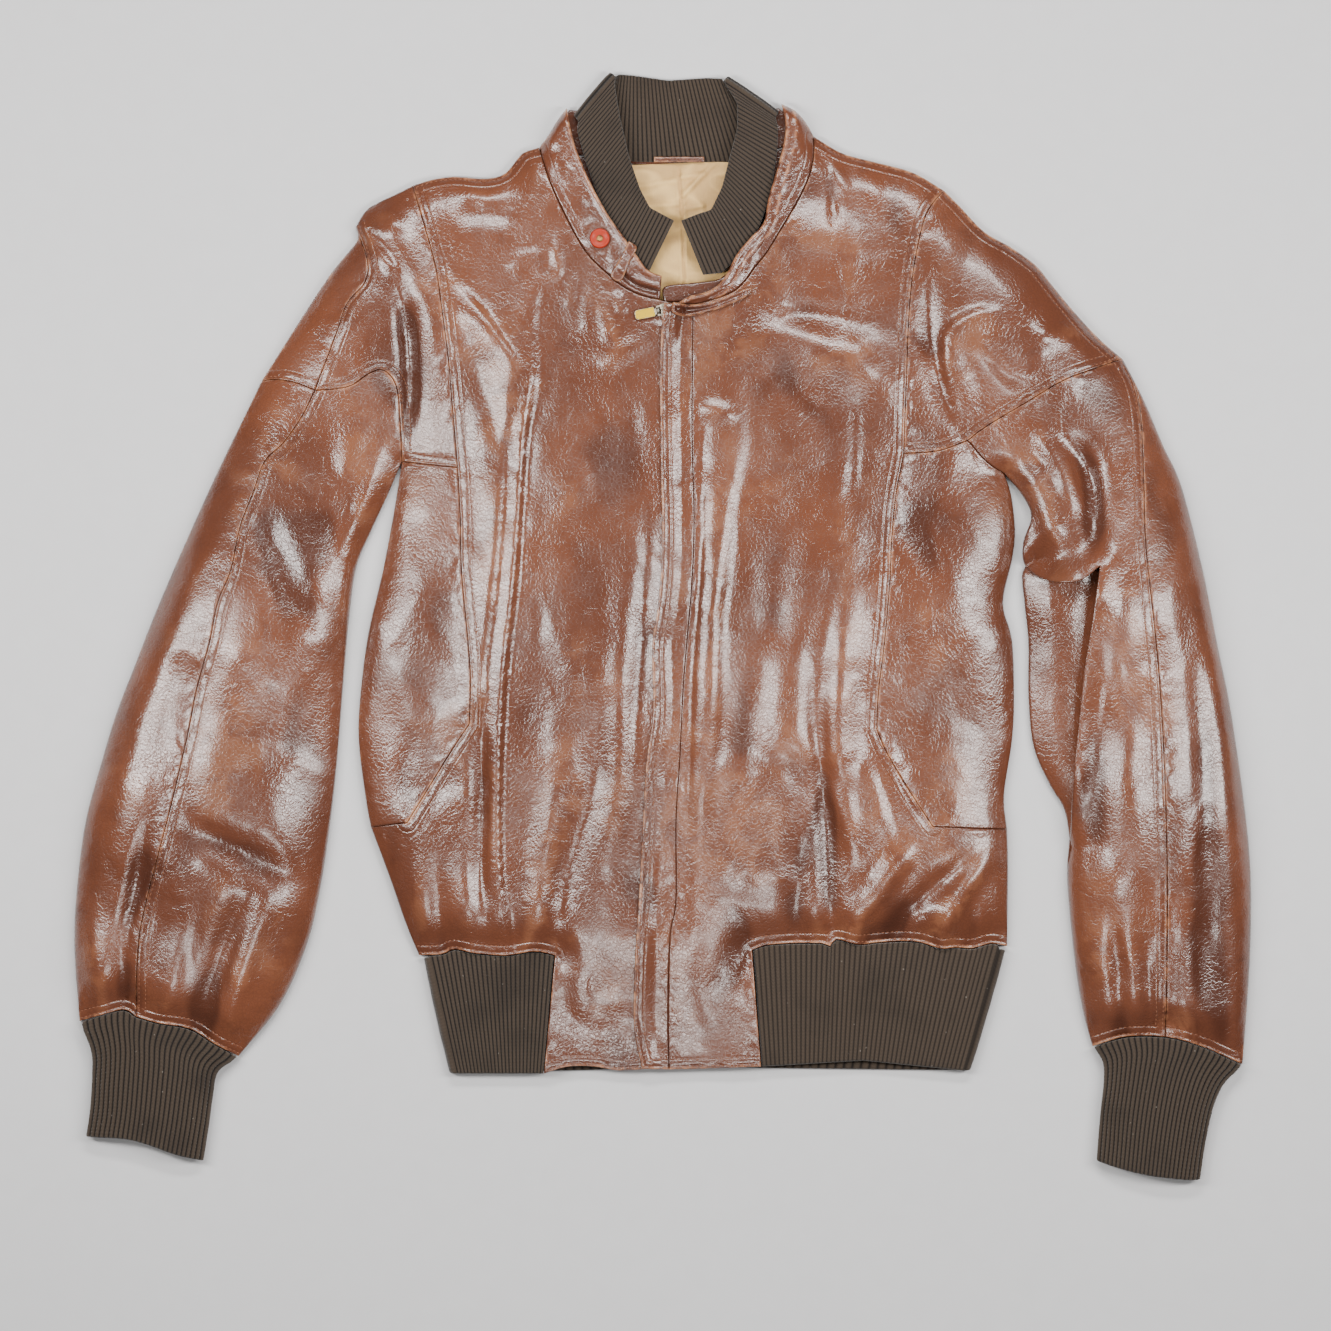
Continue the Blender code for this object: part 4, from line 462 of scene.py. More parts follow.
def planMesh(loop, rows, step, lines=()):
    # triangles over a plan: the outline, rows inside it, crease lines and an even grid, halved once
    closed = np.vstack([loop, loop[:1]])
    kept = [tuple(p) for p in loop]
    for row in rows:
        inner = insetLoop(loop, row)
        distance = nearestOn(inner, closed)[0]
        kept += [tuple(p) for p in inner[(distance > 0.85 * row) & isInside(inner, loop)]]
    low, high = loop.min(0), loop.max(0)
    creases = []
    for line in lines:
        creases += [tuple(p) for p in line if (p > low).all() and (p < high).all()]
    grid = []
    for index, y in enumerate(np.arange(low[1], high[1], step * math.sqrt(3) / 2)):
        grid += [(x + step / 2 * (index % 2), y) for x in np.arange(low[0], high[0], step)]
    for candidates, space in ((creases, 0.5 * step), (grid, 0.7 * step)):
        candidates = np.array(candidates).reshape(-1, 2)
        if len(candidates):
            clear = rows[-1] + 0.3 * step if rows else 0.4 * step
            candidates = candidates[isInside(candidates, loop)]
            if len(candidates):
                candidates = candidates[nearestOn(candidates, closed)[0] > clear]
            kept += sparse(candidates, kept, space)
    edges = [(i, (i + 1) % len(loop)) for i in range(len(loop))]
    points, _, faces, *_ = delaunay_2d_cdt([Vector(p) for p in kept], edges, [], 1, 1e-8)
    return halve(np.array([tuple(p) for p in points]), np.array([tuple(f) for f in faces]))


def halve(points, faces):
    pairs = np.sort(np.vstack([faces[:, [0, 1]], faces[:, [1, 2]], faces[:, [2, 0]]]), axis=1)
    unique, index = np.unique(pairs, axis=0, return_inverse=True)
    index = index.reshape(-1)
    middles = points[unique].mean(1)
    count, total = len(faces), len(points)
    ab, bc, ca = index[:count] + total, index[count:2 * count] + total, index[2 * count:] + total
    a, b, c = faces.T
    finer = np.vstack([np.stack(f, 1) for f in ((a, ab, ca), (ab, b, bc), (ca, bc, c), (ab, bc, ca))])
    return np.vstack([points, middles]), finer


def upright(points, faces, heightsHere):
    # each point's share of upright in its surface normal
    corners = np.column_stack([points, heightsHere])[faces]
    normals = np.cross(corners[:, 1] - corners[:, 0], corners[:, 2] - corners[:, 0])
    total = np.zeros((len(points), 3))
    for corner in range(3):
        np.add.at(total, faces[:, corner], normals)
    return total[:, 2] / np.maximum(np.linalg.norm(total, axis=1), 1e-12)


def newObject(name, vertices, faces, finish):
    mesh = bpy.data.meshes.new(name)
    mesh.from_pydata([tuple(v) for v in np.asarray(vertices, float)], [], [tuple(int(i) for i in f) for f in faces])
    mesh.update()
    mesh.materials.append(finish)
    mesh.polygons.foreach_set("use_smooth", [True] * len(mesh.polygons))
    made = bpy.data.objects.new(name, mesh)
    bpy.context.scene.collection.objects.link(made)
    return made


def closedShell(name, points, faces, low, high, finish, values=()):
    # a closed wall between two surfaces over one plan; values are attributes of its points
    count = len(points)
    ordered = faces if cross(points[faces[0]]) > 0 else faces[:, ::-1]
    directed = np.vstack([ordered[:, [0, 1]], ordered[:, [1, 2]], ordered[:, [2, 0]]])
    keys = directed[:, 0] * count + directed[:, 1]
    backs = directed[:, 1] * count + directed[:, 0]
    rim = directed[~np.isin(keys, backs)]
    sides = [(a + count, b + count, b, a)[::-1] for a, b in rim]
    shell = [tuple(f) for f in ordered + count] + [tuple(f) for f in ordered[:, ::-1]] + sides
    vertices = np.vstack([np.column_stack([points, low]), np.column_stack([points, high])])
    made = newObject(name, vertices, shell, finish)
    for label, value in dict(values).items():
        attribute = made.data.attributes.new(label, "FLOAT", "POINT")
        attribute.data.foreach_set("value", np.tile(value, 2).astype(np.float32))
    return made


def cross(corners):
    a, b, c = corners
    return (b[0] - a[0]) * (c[1] - a[1]) - (b[1] - a[1]) * (c[0] - a[0])


def surfaceTree(made):
    corners = [vertex.co for vertex in made.data.vertices]
    return BVHTree.FromPolygons(corners, [tuple(polygon.vertices) for polygon in made.data.polygons])


def topAt(trees, places, missing=0.0):
    heightsHere = np.full(len(places), -1.0)
    for tree in trees:
        for index, (x, y) in enumerate(places):
            hit = tree.ray_cast(Vector((x, y, 0.2)), Vector((0, 0, -1)))[0]
            if hit:
                heightsHere[index] = max(heightsHere[index], hit.z)
    return np.where(heightsHere < 0, missing, heightsHere)


class Wire:
    # a socket in a finish; sums and products of wires add Math nodes
    def __init__(self, finish, socket):
        self.finish = finish
        self.socket = socket

    def maths(self, operation, first, second):
        return self.finish.node("ShaderNodeMath", {"operation": operation}, {0: first, 1: second})

    def __add__(self, other):
        return self.maths("ADD", self, other)

    def __radd__(self, other):
        return self.maths("ADD", other, self)

    def __sub__(self, other):
        return self.maths("SUBTRACT", self, other)

    def __rsub__(self, other):
        return self.maths("SUBTRACT", other, self)

    def __mul__(self, other):
        return self.maths("MULTIPLY", self, other)

    def __rmul__(self, other):
        return self.maths("MULTIPLY", other, self)

    def __truediv__(self, other):
        return self.maths("DIVIDE", self, other)

    def __pow__(self, other):
        return self.maths("POWER", self, other)


class Finish:
    # a material built on the Principled shader
    def __init__(self, name, **constants):
        self.material = bpy.data.materials.new(name)
        self.material.use_nodes = True
        self.tree = self.material.node_tree
        self.shader = self.tree.nodes["Principled BSDF"]
        for label, value in constants.items():
            self.shader.inputs[label.replace("_", " ")].default_value = value

    def feed(self, socket, value):
        if isinstance(value, Wire):
            self.tree.links.new(value.socket, socket)
        else:
            socket.default_value = value

    def node(self, kind, settings=None, inputs=None, output=0):
        made = self.tree.nodes.new(kind)
        for label, value in (settings or {}).items():
            if label == "stops":
                for index, (place, colour) in enumerate(value):
                    stop = made.color_ramp.elements[index] if index < 2 else made.color_ramp.elements.new(place)
                    stop.position = place
                    stop.color = colour
            else:
                setattr(made, label, value)
        for label, value in (inputs or {}).items():
            self.feed(made.inputs[label], value)
        return Wire(self, made.outputs[output])

    def place(self):
        return self.node("ShaderNodeTexCoord", output="Object")

    def noise(self, vector, scale, detail=2.0, rough=0.5, distortion=0.0):
        return self.node("ShaderNodeTexNoise", {}, {"Vector": vector, "Scale": scale, "Detail": detail,
                                                    "Roughness": rough, "Distortion": distortion})

    def warped(self, vector, scale, amount):
        swirl = self.node("ShaderNodeTexNoise", {}, {"Vector": vector, "Scale": scale, "Detail": 2.0}, "Color")
        return self.node("ShaderNodeVectorMath", {"operation": "MULTIPLY_ADD"},
                         {0: swirl, 1: (amount, amount, amount), 2: vector})

    def cells(self, vector, scale, feature="DISTANCE_TO_EDGE"):
        return self.node("ShaderNodeTexVoronoi", {"feature": feature}, {"Vector": vector, "Scale": scale})

    def attribute(self, name):
        return self.node("ShaderNodeAttribute", {"attribute_name": name}, output="Fac")

    def ramp(self, value, low, high):
        return self.node("ShaderNodeMapRange", {"interpolation_type": "SMOOTHSTEP"},
                         {"Value": value, "From Min": low, "From Max": high})

    def mix(self, first, second, share):
        return self.node("ShaderNodeMix", {"data_type": "RGBA"}, {0: share, 6: first, 7: second}, 2)

    def bump(self, height, distance, strength=1.0):
        return self.node("ShaderNodeBump", {}, {"Height": height, "Distance": distance, "Strength": strength})

    def finish(self, colour=None, roughness=None, normal=None, **others):
        links = {"Base Color": colour, "Roughness": roughness, "Normal": normal}
        links.update({label.replace("_", " "): value for label, value in others.items()})
        for label, value in links.items():
            if value is not None:
                self.feed(self.shader.inputs[label], value)
        return self.material


leather = {
    "brown": (0.120, 0.039, 0.020, 1),
    "ruddy": (0.172, 0.056, 0.027, 1),
    "dark": (0.040, 0.012, 0.007, 1),
    "rubbed": (0.400, 0.160, 0.075, 1),
    "edge": (0.560, 0.300, 0.160, 1),
    "shine": 0.15,
    "dull": 0.25,
    "grainScale": 340.0,       # cells in a metre
    "grainDepth": 0.00006,
    "wrinkleScale": 62.0,
    "wrinkleDepth": 0.00034,
    "stitchRow": 0.0072,
}


def leatherFinish(name, shade=0.0):
    skin = Finish(name, Coat_Roughness=0.12, Specular_IOR_Level=0.72)
    place = skin.place()
    away = skin.attribute("edgeAway")
    rowAway = skin.attribute("rowAway")
    rub = skin.attribute("rub")
    fold = skin.attribute("fold")
    broad = skin.noise(place, 9.0, 3.0, 0.55)
    patches = skin.noise(place, 46.0, 4.0, 0.6, 0.4)
    speckle = skin.noise(place, 520.0, 3.0, 0.6)
    colour = skin.mix(leather["brown"], leather["ruddy"], skin.ramp(broad, 0.38, 0.66))
    # the shade argument paints the whole piece darker: painted shade for pieces that lie in shadow
    colour = skin.mix(colour, leather["dark"], skin.ramp(patches, 0.50, 0.86) * 0.45 + shade)
    warped = skin.warped(place, 120.0, 0.0035)
    cells = skin.ramp(skin.cells(warped, leather["grainScale"]), 0.0, 0.22)
    colour = skin.mix(colour, leather["dark"], (1.0 - cells) * 0.14)
    # painted shade: the leather is painted darker where its folds and creases lie low, through the fold attribute
    colour = skin.mix(colour, leather["dark"], skin.ramp(fold, -0.15, -1.3) * 0.62)
    colour = skin.mix(colour, leather["rubbed"], skin.ramp(fold, 0.35, 1.6) * skin.ramp(patches, 0.40, 0.62) * 0.30)
    worn = skin.noise(place, 170.0, 3.0, 0.65)
    seamDark = skin.ramp(away, 0.0020, 0.0006) * 0.25 + skin.ramp(rowAway, 0.0105, 0.0030) * 0.16
    colour = skin.mix(colour, leather["dark"], seamDark)
    rubbed = rub * skin.ramp(worn, 0.30, 0.62)
    colour = skin.mix(colour, leather["rubbed"], skin.ramp(rubbed, 0.05, 0.60) * 0.75)
    colour = skin.mix(colour, leather["edge"], skin.ramp(rubbed, 0.45, 1.0) * 0.70)
    gloss = skin.ramp(skin.noise(place, 24.0, 3.0, 0.6), 0.32, 0.70)
    roughness = leather["shine"] + gloss * (leather["dull"] - leather["shine"]) + (1.0 - cells) * 0.06
    roughness = roughness + rub * 0.12 + speckle * 0.02
    creased = skin.noise(skin.warped(place, 40.0, 0.012), leather["wrinkleScale"], 3.0, 0.55, 0.8)
    lines = skin.ramp(skin.node("ShaderNodeMath", {"operation": "ABSOLUTE"}, {0: creased - 0.5}), 0.0, 0.05)
    soft = skin.noise(place, 110.0, 3.0, 0.5)
    height = cells * leather["grainDepth"] + speckle * 0.00002
    height = height + creased * leather["wrinkleDepth"] + lines * 0.00007 + soft * 0.00009
    row = skin.ramp(skin.node("ShaderNodeMath", {"operation": "ABSOLUTE"}, {0: rowAway - leather["stitchRow"]}),
                    0.0, 0.0011)
    height = height + row * 0.00030
    normal = skin.bump(height, 1.0, 0.85)
    return skin.finish(colour, roughness, normal, Coat_Weight=0.08 + 0.22 * gloss)


# Knit colours: the yarn is painted lighter on the rib crests as painted highlight, and darker in the valleys between
# them as painted shade
knit = {
    "ridge": (0.056, 0.040, 0.028, 1),
    "yarn": (0.024, 0.016, 0.011, 1),
    "valley": (0.006, 0.004, 0.003, 1),
    "lint": (0.250, 0.220, 0.190, 1),
    "loopPitch": 0.0022,
    "loopDepth": 0.00018,
}


def knitFinish(name):
    wool = Finish(name, Sheen_Weight=0.25, Sheen_Roughness=0.5, Specular_IOR_Level=0.25)
    place = wool.place()
    rib = wool.attribute("ribTurn")
    run = wool.attribute("ribRun")
    level = wool.attribute("ribLevel")
    fibre = wool.noise(place, 900.0, 4.0, 0.7)
    slant = wool.node("ShaderNodeMath", {"operation": "PINGPONG"}, {0: rib, 1: 0.5})
    loops = wool.node("ShaderNodeMath", {"operation": "SINE"}, {0: (run + slant * 1.3) * (2 * math.pi)})
    loops = loops * 0.5 + 0.5
    # painted shade in the rib valleys and painted highlight on the rib crests, by the rib's level
    colour = wool.mix(knit["valley"], knit["yarn"], wool.ramp(level, 0.20, 0.80))
    colour = wool.mix(colour, knit["ridge"], wool.ramp(level, 0.45, 1.0) * (0.86 + 0.14 * loops))
    colour = wool.mix(colour, knit["valley"], wool.ramp(wool.noise(place, 30.0, 2.0), 0.45, 0.8) * 0.35)
    lint = wool.ramp(wool.cells(place, 95.0, "F1"), 0.075, 0.045) * wool.ramp(fibre, 0.45, 0.6)
    colour = wool.mix(colour, knit["lint"], lint * 0.7)
    height = loops * knit["loopDepth"] * wool.ramp(level, 0.0, 0.6) + fibre * 0.00035
    return wool.finish(colour, 0.88 + 0.10 * fibre, wool.bump(height, 1.0, 0.9))


liningLook = {
    "beige": (0.820, 0.530, 0.200, 1),
    "shade": (0.420, 0.240, 0.090, 1),
    "weave": 2600.0,
}


def liningFinish(name):
    cloth = Finish(name, Sheen_Weight=0.3, Sheen_Roughness=0.35, Specular_IOR_Level=0.4)
    place = cloth.place()
    fold = cloth.attribute("fold")
    broad = cloth.noise(place, 22.0, 3.0)
    parts = cloth.node("ShaderNodeSeparateXYZ", {}, {0: place}, "X")
    twill = cloth.node("ShaderNodeMath", {"operation": "SINE"}, {0: parts * liningLook["weave"] * 2})
    colour = cloth.mix(liningLook["beige"], liningLook["shade"], cloth.ramp(broad, 0.45, 0.8) * 0.35)
    # painted shade: the cloth is painted darker where its folds lie low and along its centre seam
    colour = cloth.mix(colour, liningLook["shade"], cloth.ramp(fold, 0.0, -1.0) * 0.6)
    crumple = cloth.noise(place, 90.0, 3.0, 0.55, 0.5)
    height = crumple * 0.0016 + twill * 0.00005
    return cloth.finish(colour, 0.55 + 0.15 * broad, cloth.bump(height, 1.0, 0.8))


def enamelFinish(name, colour, worn, shine):
    enamel = Finish(name, Coat_Roughness=0.20, Specular_IOR_Level=0.28, Coat_Weight=0.08)
    place = enamel.place()
    scuffs = enamel.noise(place, 900.0, 3.0, 0.6, 1.0)
    cloud = enamel.noise(place, 260.0, 2.0)
    tone = enamel.mix(colour, worn, enamel.ramp(scuffs, 0.55, 0.75) * 0.5 + enamel.ramp(cloud, 0.5, 0.8) * 0.25)
    return enamel.finish(tone, shine + 0.25 * scuffs, enamel.bump(scuffs * 0.00006 + cloud * 0.00008, 1.0, 0.7))


def metalFinish(name, colour, tarnish):
    metal = Finish(name, Metallic=1.0)
    place = metal.place()
    scuffs = metal.noise(place, 1400.0, 3.0, 0.6, 1.5)
    cloud = metal.noise(place, 300.0, 3.0)
    tone = metal.mix(colour, tarnish, metal.ramp(cloud, 0.42, 0.72))
    return metal.finish(tone, 0.26 + 0.30 * scuffs, metal.bump(scuffs * 0.00005, 1.0, 0.7))


def threadFinish(name, colour, shadow):
    thread = Finish(name, Specular_IOR_Level=0.35)
    twist = thread.noise(thread.place(), 2600.0, 2.0)
    tone = thread.mix(colour, shadow, thread.ramp(twist, 0.4, 0.7))
    return thread.finish(tone, 0.6 + 0.2 * twist, thread.bump(twist * 0.00008, 1.0, 0.8))


skins = {
    "leather": leatherFinish("leather"),
    # a copy of the leather painted darker as shade, for the pieces that lie in shadow inside the collar
    "inner": leatherFinish("leatherInShade", 0.35),
    "knit": knitFinish("ribKnit"),
    "lining": liningFinish("liningCloth"),
    "red": enamelFinish("redEnamel", (0.400, 0.026, 0.006, 1), (0.200, 0.018, 0.009, 1), 0.26),
    "yellow": enamelFinish("yellowEnamel", (0.700, 0.450, 0.006, 1), (0.440, 0.270, 0.01, 1), 0.42),
    "brass": metalFinish("wornBrass", (0.360, 0.200, 0.080, 1), (0.090, 0.045, 0.020, 1)),
    "zip": metalFinish("zipMetal", (0.520, 0.470, 0.380, 1), (0.200, 0.170, 0.130, 1)),
    "thread": threadFinish("seamThread", (0.330, 0.135, 0.070, 1), (0.130, 0.050, 0.030, 1)),
}
print("finishes made")


placket = {
    "overlap": 0.00675,
    "fade": 2.3,                 # where it comes back down, in overlaps from its edge
    "hump": 0.0052,              # its rise over the zip slider
    "humpReach": 0.018,
    "slider": (658.5, 312.0),
}
lap = {"lift": 0.0050, "reach": 0.022, "end": -0.180, "fade": 0.040}
cloth = {
    "wrinkles": ((0.058, 3.2, 3.1), (0.031, 1.9, 11.7), (0.015, 0.60, 23.3)),   # size, rise in mm, seed
    "stretch": 1.7,              # wrinkles are longer down the garment than across it
    "roll": 0.0010,              # how far in from a seam the edge turns down
    "weltRise": 0.0006,
    "weltReach": 0.0088,
    "pucker": 0.9,
    "puckerSize": 0.0075,
    "puckerReach": 0.0065,
    "rubReach": 0.0021,
    "flatRows": (0.0010, 0.0030),
}
tabRoom = {"low": (-0.0215, 0.2280), "high": (-0.0005, 0.2395), "ceiling": 0.0207}

# How pale each seam is rubbed.
wear = {
    "shoulderRight": 1.0, "capRight": 0.95, "placketEdge": 0.9, "pocketLeft": 0.8, "pocketRight": 0.8,
    "hemLeft": 0.75, "hemRight": 0.8, "cuffSeamLeftA": 0.8, "cuffSeamLeftB": 0.8, "cuffSeamRightA": 0.8,
    "cuffSeamRightB": 0.8, "tabHemLeft": 0.7, "tabHemRight": 0.7, "placketHem": 0.7, "shoulderLeft": 0.65,
    "princessLeftA": 0.6, "princessLeftB": 0.55, "princessRightA": 0.65, "princessRightB": 0.6,
    "crossLeftA": 0.5, "crossLeftB": 0.55, "longLeftA": 0.5, "longLeftB": 0.5, "longRight": 0.5,
    "yokeHemLeft": 0.5, "yokeHemRightA": 0.5, "yokeHemRightB": 0.55, "capLeft": 0.6, "tabLeft": 0.6,
    "tabRight": 0.6, "sleeveOuterLeft": 0.35, "sleeveOuterRight": 0.35, "sideLeftA": 0.3,
    "sleeveInnerLeft": 0.25, "placketTopA": 0.6, "placketTopB": 0.8, "neckLeft": 0.35, "neckRight": 0.45,
}
# Seams whose double row of stitches runs on this panel.
stitchedSeams = {
    "front_left": ["princessLeftA", "princessLeftB", "pocketLeft", "hemLeft", "tabHemLeft", "shoulderLeft"],
    "front_right": ["princessRightA", "princessRightB", "pocketRight", "hemRight", "tabHemRight",
                    "shoulderRight"],
    "placket": ["placketEdge", "placketHem"],
    "yoke_left": ["yokeHemLeft", "crossLeftB", "longLeftA"],
    "yoke_left_back": ["crossLeftA"],
    "yoke_right": ["yokeHemRightA", "yokeHemRightB", "capRight"],
    "sleeve_left_upper": ["longLeftB", "cuffSeamLeftB"],
    "sleeve_left_outer": ["cuffSeamLeftA"],
    "sleeve_right_upper": ["longRight", "cuffSeamRightA"],
    "sleeve_right_outer": ["cuffSeamRightB"],
}
frontPanels = ["front_left", "placket", "front_right", "side_left", "side_right", "yoke_left", "yoke_left_back",
               "yoke_right", "sleeve_left_outer", "sleeve_left_upper", "sleeve_right_upper",
               "sleeve_right_outer"]
built = {}
trees = {}
stitchRows = []
flatCuts = {}


def wrinkled(points):
    # wrinkles in metres: soft ones and sharper creases between them
    total = np.zeros(len(points))
    shrunk = points * (1, 1 / cloth["stretch"])
    bend = 0.35 * np.stack([roughness(points, 0.05, 71.0), roughness(points, 0.05, 83.0)], 1) * 0.05
    for size, rise, seed in cloth["wrinkles"]:
        soft = roughness(shrunk + bend, size, seed)
        sharp = 0.32 - np.abs(roughness(shrunk + bend, size * 1.2, seed + 7))
        total += rise * mm * (0.55 * soft + 0.55 * sharp)
    return total


def leatherLow(points):
    # the lower surface of the front's leather, and how deep its folds lie there in millimetres
    height, folded, share = hollowHeight(points)
    wrinkles = wrinkled(points) * (0.25 + 0.75 * share)
    low = np.maximum(height + wrinkles, garment["base"])
    return low, (wrinkles + 0.30 * folded) / mm


def thickened(points, faces, low, thickness=garment["leather"]):
    return low + thickness * np.minimum(1 / np.maximum(upright(points, faces, low), 0.2), garment["steepest"])


def seamRub(points, names):
    rub = np.zeros(len(points))
    broken = 0.75 + 0.5 * roughness(points, 0.011, 41.0) + 0.4 * roughness(points, 0.035, 43.0)
    for name in names:
        strength = wear.get(name.strip("->"), 0)
        if strength:
            away = nearestOn(points, seamLine(name, 0.004))[0]
            rub = np.maximum(rub, strength * np.exp(-((away / (cloth["rubReach"] * broken)) ** 2)))
    return rub * np.clip(broken + 0.2, 0, 1.2)


def rowDistance(points, name):
    away = np.full(len(points), 0.1)
    for seamName in stitchedSeams.get(name, []):
        away = np.minimum(away, nearestOn(points, seamLine(seamName, 0.004))[0])
    return away


def flatCut(loop):
    # the smallest upright or turned box round a cut piece, and its area
    after = np.roll(loop, -1, 0)
    area = abs((loop[:, 0] * after[:, 1] - loop[:, 1] * after[:, 0]).sum()) / 2
    best = None
    for degrees in range(0, 90, 5):
        turn = math.radians(degrees)
        turned = loop @ np.array([[math.cos(turn), -math.sin(turn)], [math.sin(turn), math.cos(turn)]])
        size = turned.max(0) - turned.min(0)
        if best is None or size.prod() < best.prod():
            best = size
    return best, area


def leatherPanel(name):
    loop = insetLoop(loopOf(panelSeams[name]), garment["seamGap"] / 2)
    lines = [smoothLine(plan(fold[0]), 0.004) for fold in folds.values()]
    points, faces = planMesh(loop, garment["rows"], garment["gridStep"], lines)
    low, fold = leatherLow(points)
    thickness = thickened(points, faces, low) - low
    if name == "placket":
        edge = nearestOn(points, seamLine("placketEdge", 0.010))[0] / placket["overlap"]
        slider = np.exp(-(((points[:, 1] - plan([placket["slider"]])[0, 1]) / placket["humpReach"]) ** 2))
        low = low + (thickness + 2 * garment["seamGap"] + placket["hump"] * slider) * soften(placket["fade"] - edge)
    if name == "sleeve_right_upper":
        rolled = np.vstack([seamLine("tongue", 0.010)[:4][::-1], seamLine("sleeveInnerRight", 0.010)[::-1][1:]])
        away = nearestOn(points, rolled)[0]
        upper = soften((points[:, 1] - lap["end"]) / lap["fade"])
        low = low + lap["lift"] * (1 - soften(away / lap["reach"])) * upper
    closed = np.vstack([loop, loop[:1]])
    edgeAway = nearestOn(points, closed)[0]
    rowAway = rowDistance(points, name)
    welt = cloth["weltRise"] * soften((cloth["weltReach"] - rowAway) / 0.0016)
    pucker = roughness(points, cloth["puckerSize"], 57.0) * np.exp(-((edgeAway / cloth["puckerReach"]) ** 2))
    pucker = pucker * cloth["pucker"] * mm * soften(edgeAway / 0.0030)
    low = np.maximum(low + 0.7 * pucker, garment["base"])
    high = low + thickness + welt
    groove = 0.00035 * (np.exp(-(((rowAway - 0.0022) / 0.0007) ** 2)) + np.exp(-(((rowAway - 0.0072) / 0.0008) ** 2)))
    high = high - groove
    turned = np.clip(1 - edgeAway / cloth["roll"], 0, 1)
    high = high - 0.0006 * (1 - np.sqrt(np.maximum(1 - turned**2, 0)))
    if name == "front_left":
        gap = np.maximum(np.maximum(tabRoom["low"] - points, points - tabRoom["high"]), 0).max(1)
        high = np.minimum(high, tabRoom["ceiling"] + 0.6 * gap)
    low = np.minimum(low, high - 0.0004)
    low = np.maximum(low, high - garment["shellThickness"] * (thickness / garment["leather"]))
    rub = seamRub(points, panelSeams[name])
    values = {"edgeAway": edgeAway, "rowAway": rowAway, "fold": fold, "rub": rub}
    made = closedShell(name.replace("_", ".") + ".cloth", points, faces, low, high, skins["leather"], values)
    built[name] = made
    trees[name] = surfaceTree(made)
    flatCuts[name] = flatCut(loop)
    return made


for panelName in frontPanels:
    leatherPanel(panelName)
    print(panelName, len(built[panelName].data.polygons), "faces")


def flatPanel(name):
    # a part that lies flat on the surface under the others
    loop = insetLoop(loopOf(panelSeams[name]), garment["seamGap"] / 2)
    points, faces = planMesh(loop, cloth["flatRows"], 0.016)
    edgeAway = nearestOn(points, np.vstack([loop, loop[:1]]))[0]
    ripple = 0.0002 * roughness(points, 0.03, 5.0)
    turned = np.clip(1 - edgeAway / 0.0010, 0, 1)
    high = garment["leather"] + ripple - 0.0002 - 0.0009 * (1 - np.sqrt(np.maximum(1 - turned**2, 0)))
    rub = seamRub(points, panelSeams[name])
    values = {"edgeAway": edgeAway, "rowAway": np.full(len(points), 0.1), "fold": ripple / mm, "rub": rub}
    made = closedShell(name.replace("_", ".") + ".cloth", points, faces, np.zeros(len(points)), high,
                       skins["leather"], values)
    built[name] = made
    flatCuts[name] = flatCut(loop)


for panelName in ["back_panel", "sleeve_left_back", "sleeve_right_back", "band_back"]:
    flatPanel(panelName)


underSleeve = {"share": 0.55, "reach": 0.09}
facing = {"drop": 0.0027}
bands = {
    "leather": 0.0023,
    "endReach": 0.010,
    "riseSpan": 1.3,
    "left": ((0.0150, 0.0210), "neckLeft", "bandFreeLeft", "bandEndLeft"),
    "right": ((0.0150, 0.0215), "neckRight", "bandFreeRight", "bandEndRight"),
    "wrinkle": 0.9,
    "bead": 0.0007,
    "cavity": [(619, 272), (630, 283), (642, 289), (656, 293)],      # under the rolled end of the left band
    "cavityDepth": 0.0022,
    "lip": 0.0012,
}


def plainSheet(name, loop, low, thickness, finish, rowAway=None, rub=None, rows=(0.0005, 0.0013, 0.0028),
               step=0.0040):
    # a leather or cloth piece over its plan; low gives its lower surface and the depth of its folds
    points, faces = planMesh(loop, rows, step)
    lowHere, fold = low(points)
    edgeAway = nearestOn(points, np.vstack([loop, loop[:1]]))[0]
    turned = np.clip(1 - edgeAway / min(0.0016, thickness), 0, 1)
    high = thickened(points, faces, lowHere, thickness)
    high = high - 0.7 * thickness * (1 - np.sqrt(np.maximum(1 - turned**2, 0)))
    rowHere = np.full(len(points), 0.1) if rowAway is None else rowAway(points)
    rubHere = np.zeros(len(points)) if rub is None else rub(points)
    lowHere = np.minimum(lowHere, high - 0.0002)
    values = {"edgeAway": edgeAway, "rowAway": rowHere, "fold": fold, "rub": rubHere}
    made = closedShell(name.replace("_", ".") + ".cloth", points, faces, lowHere, high, finish, values)
    built[name] = made
    trees[name] = surfaceTree(made)
    flatCuts[name] = flatCut(loop)
    return made


def underSleeveLow(points):
    side = nearestOn(points, seamLine("underSleeveEdge", 0.010))[0]
    share = underSleeve["share"] * np.clip(1.2 - side / underSleeve["reach"], 0.5, 1)
    height, folded, _ = hollowHeight(points)
    ripple = 0.0009 * roughness(points * (1, 0.6), 0.018, 9.0)
    return garment["base"] + (height - garment["base"]) * share + np.maximum(ripple, -0.0004), ripple / mm


def facingLow(points):
    height, _, _ = hollowHeight(points)
    return height - facing["drop"] + 0.0003 * roughness(points, 0.008, 15.0), roughness(points, 0.012, 15.0)


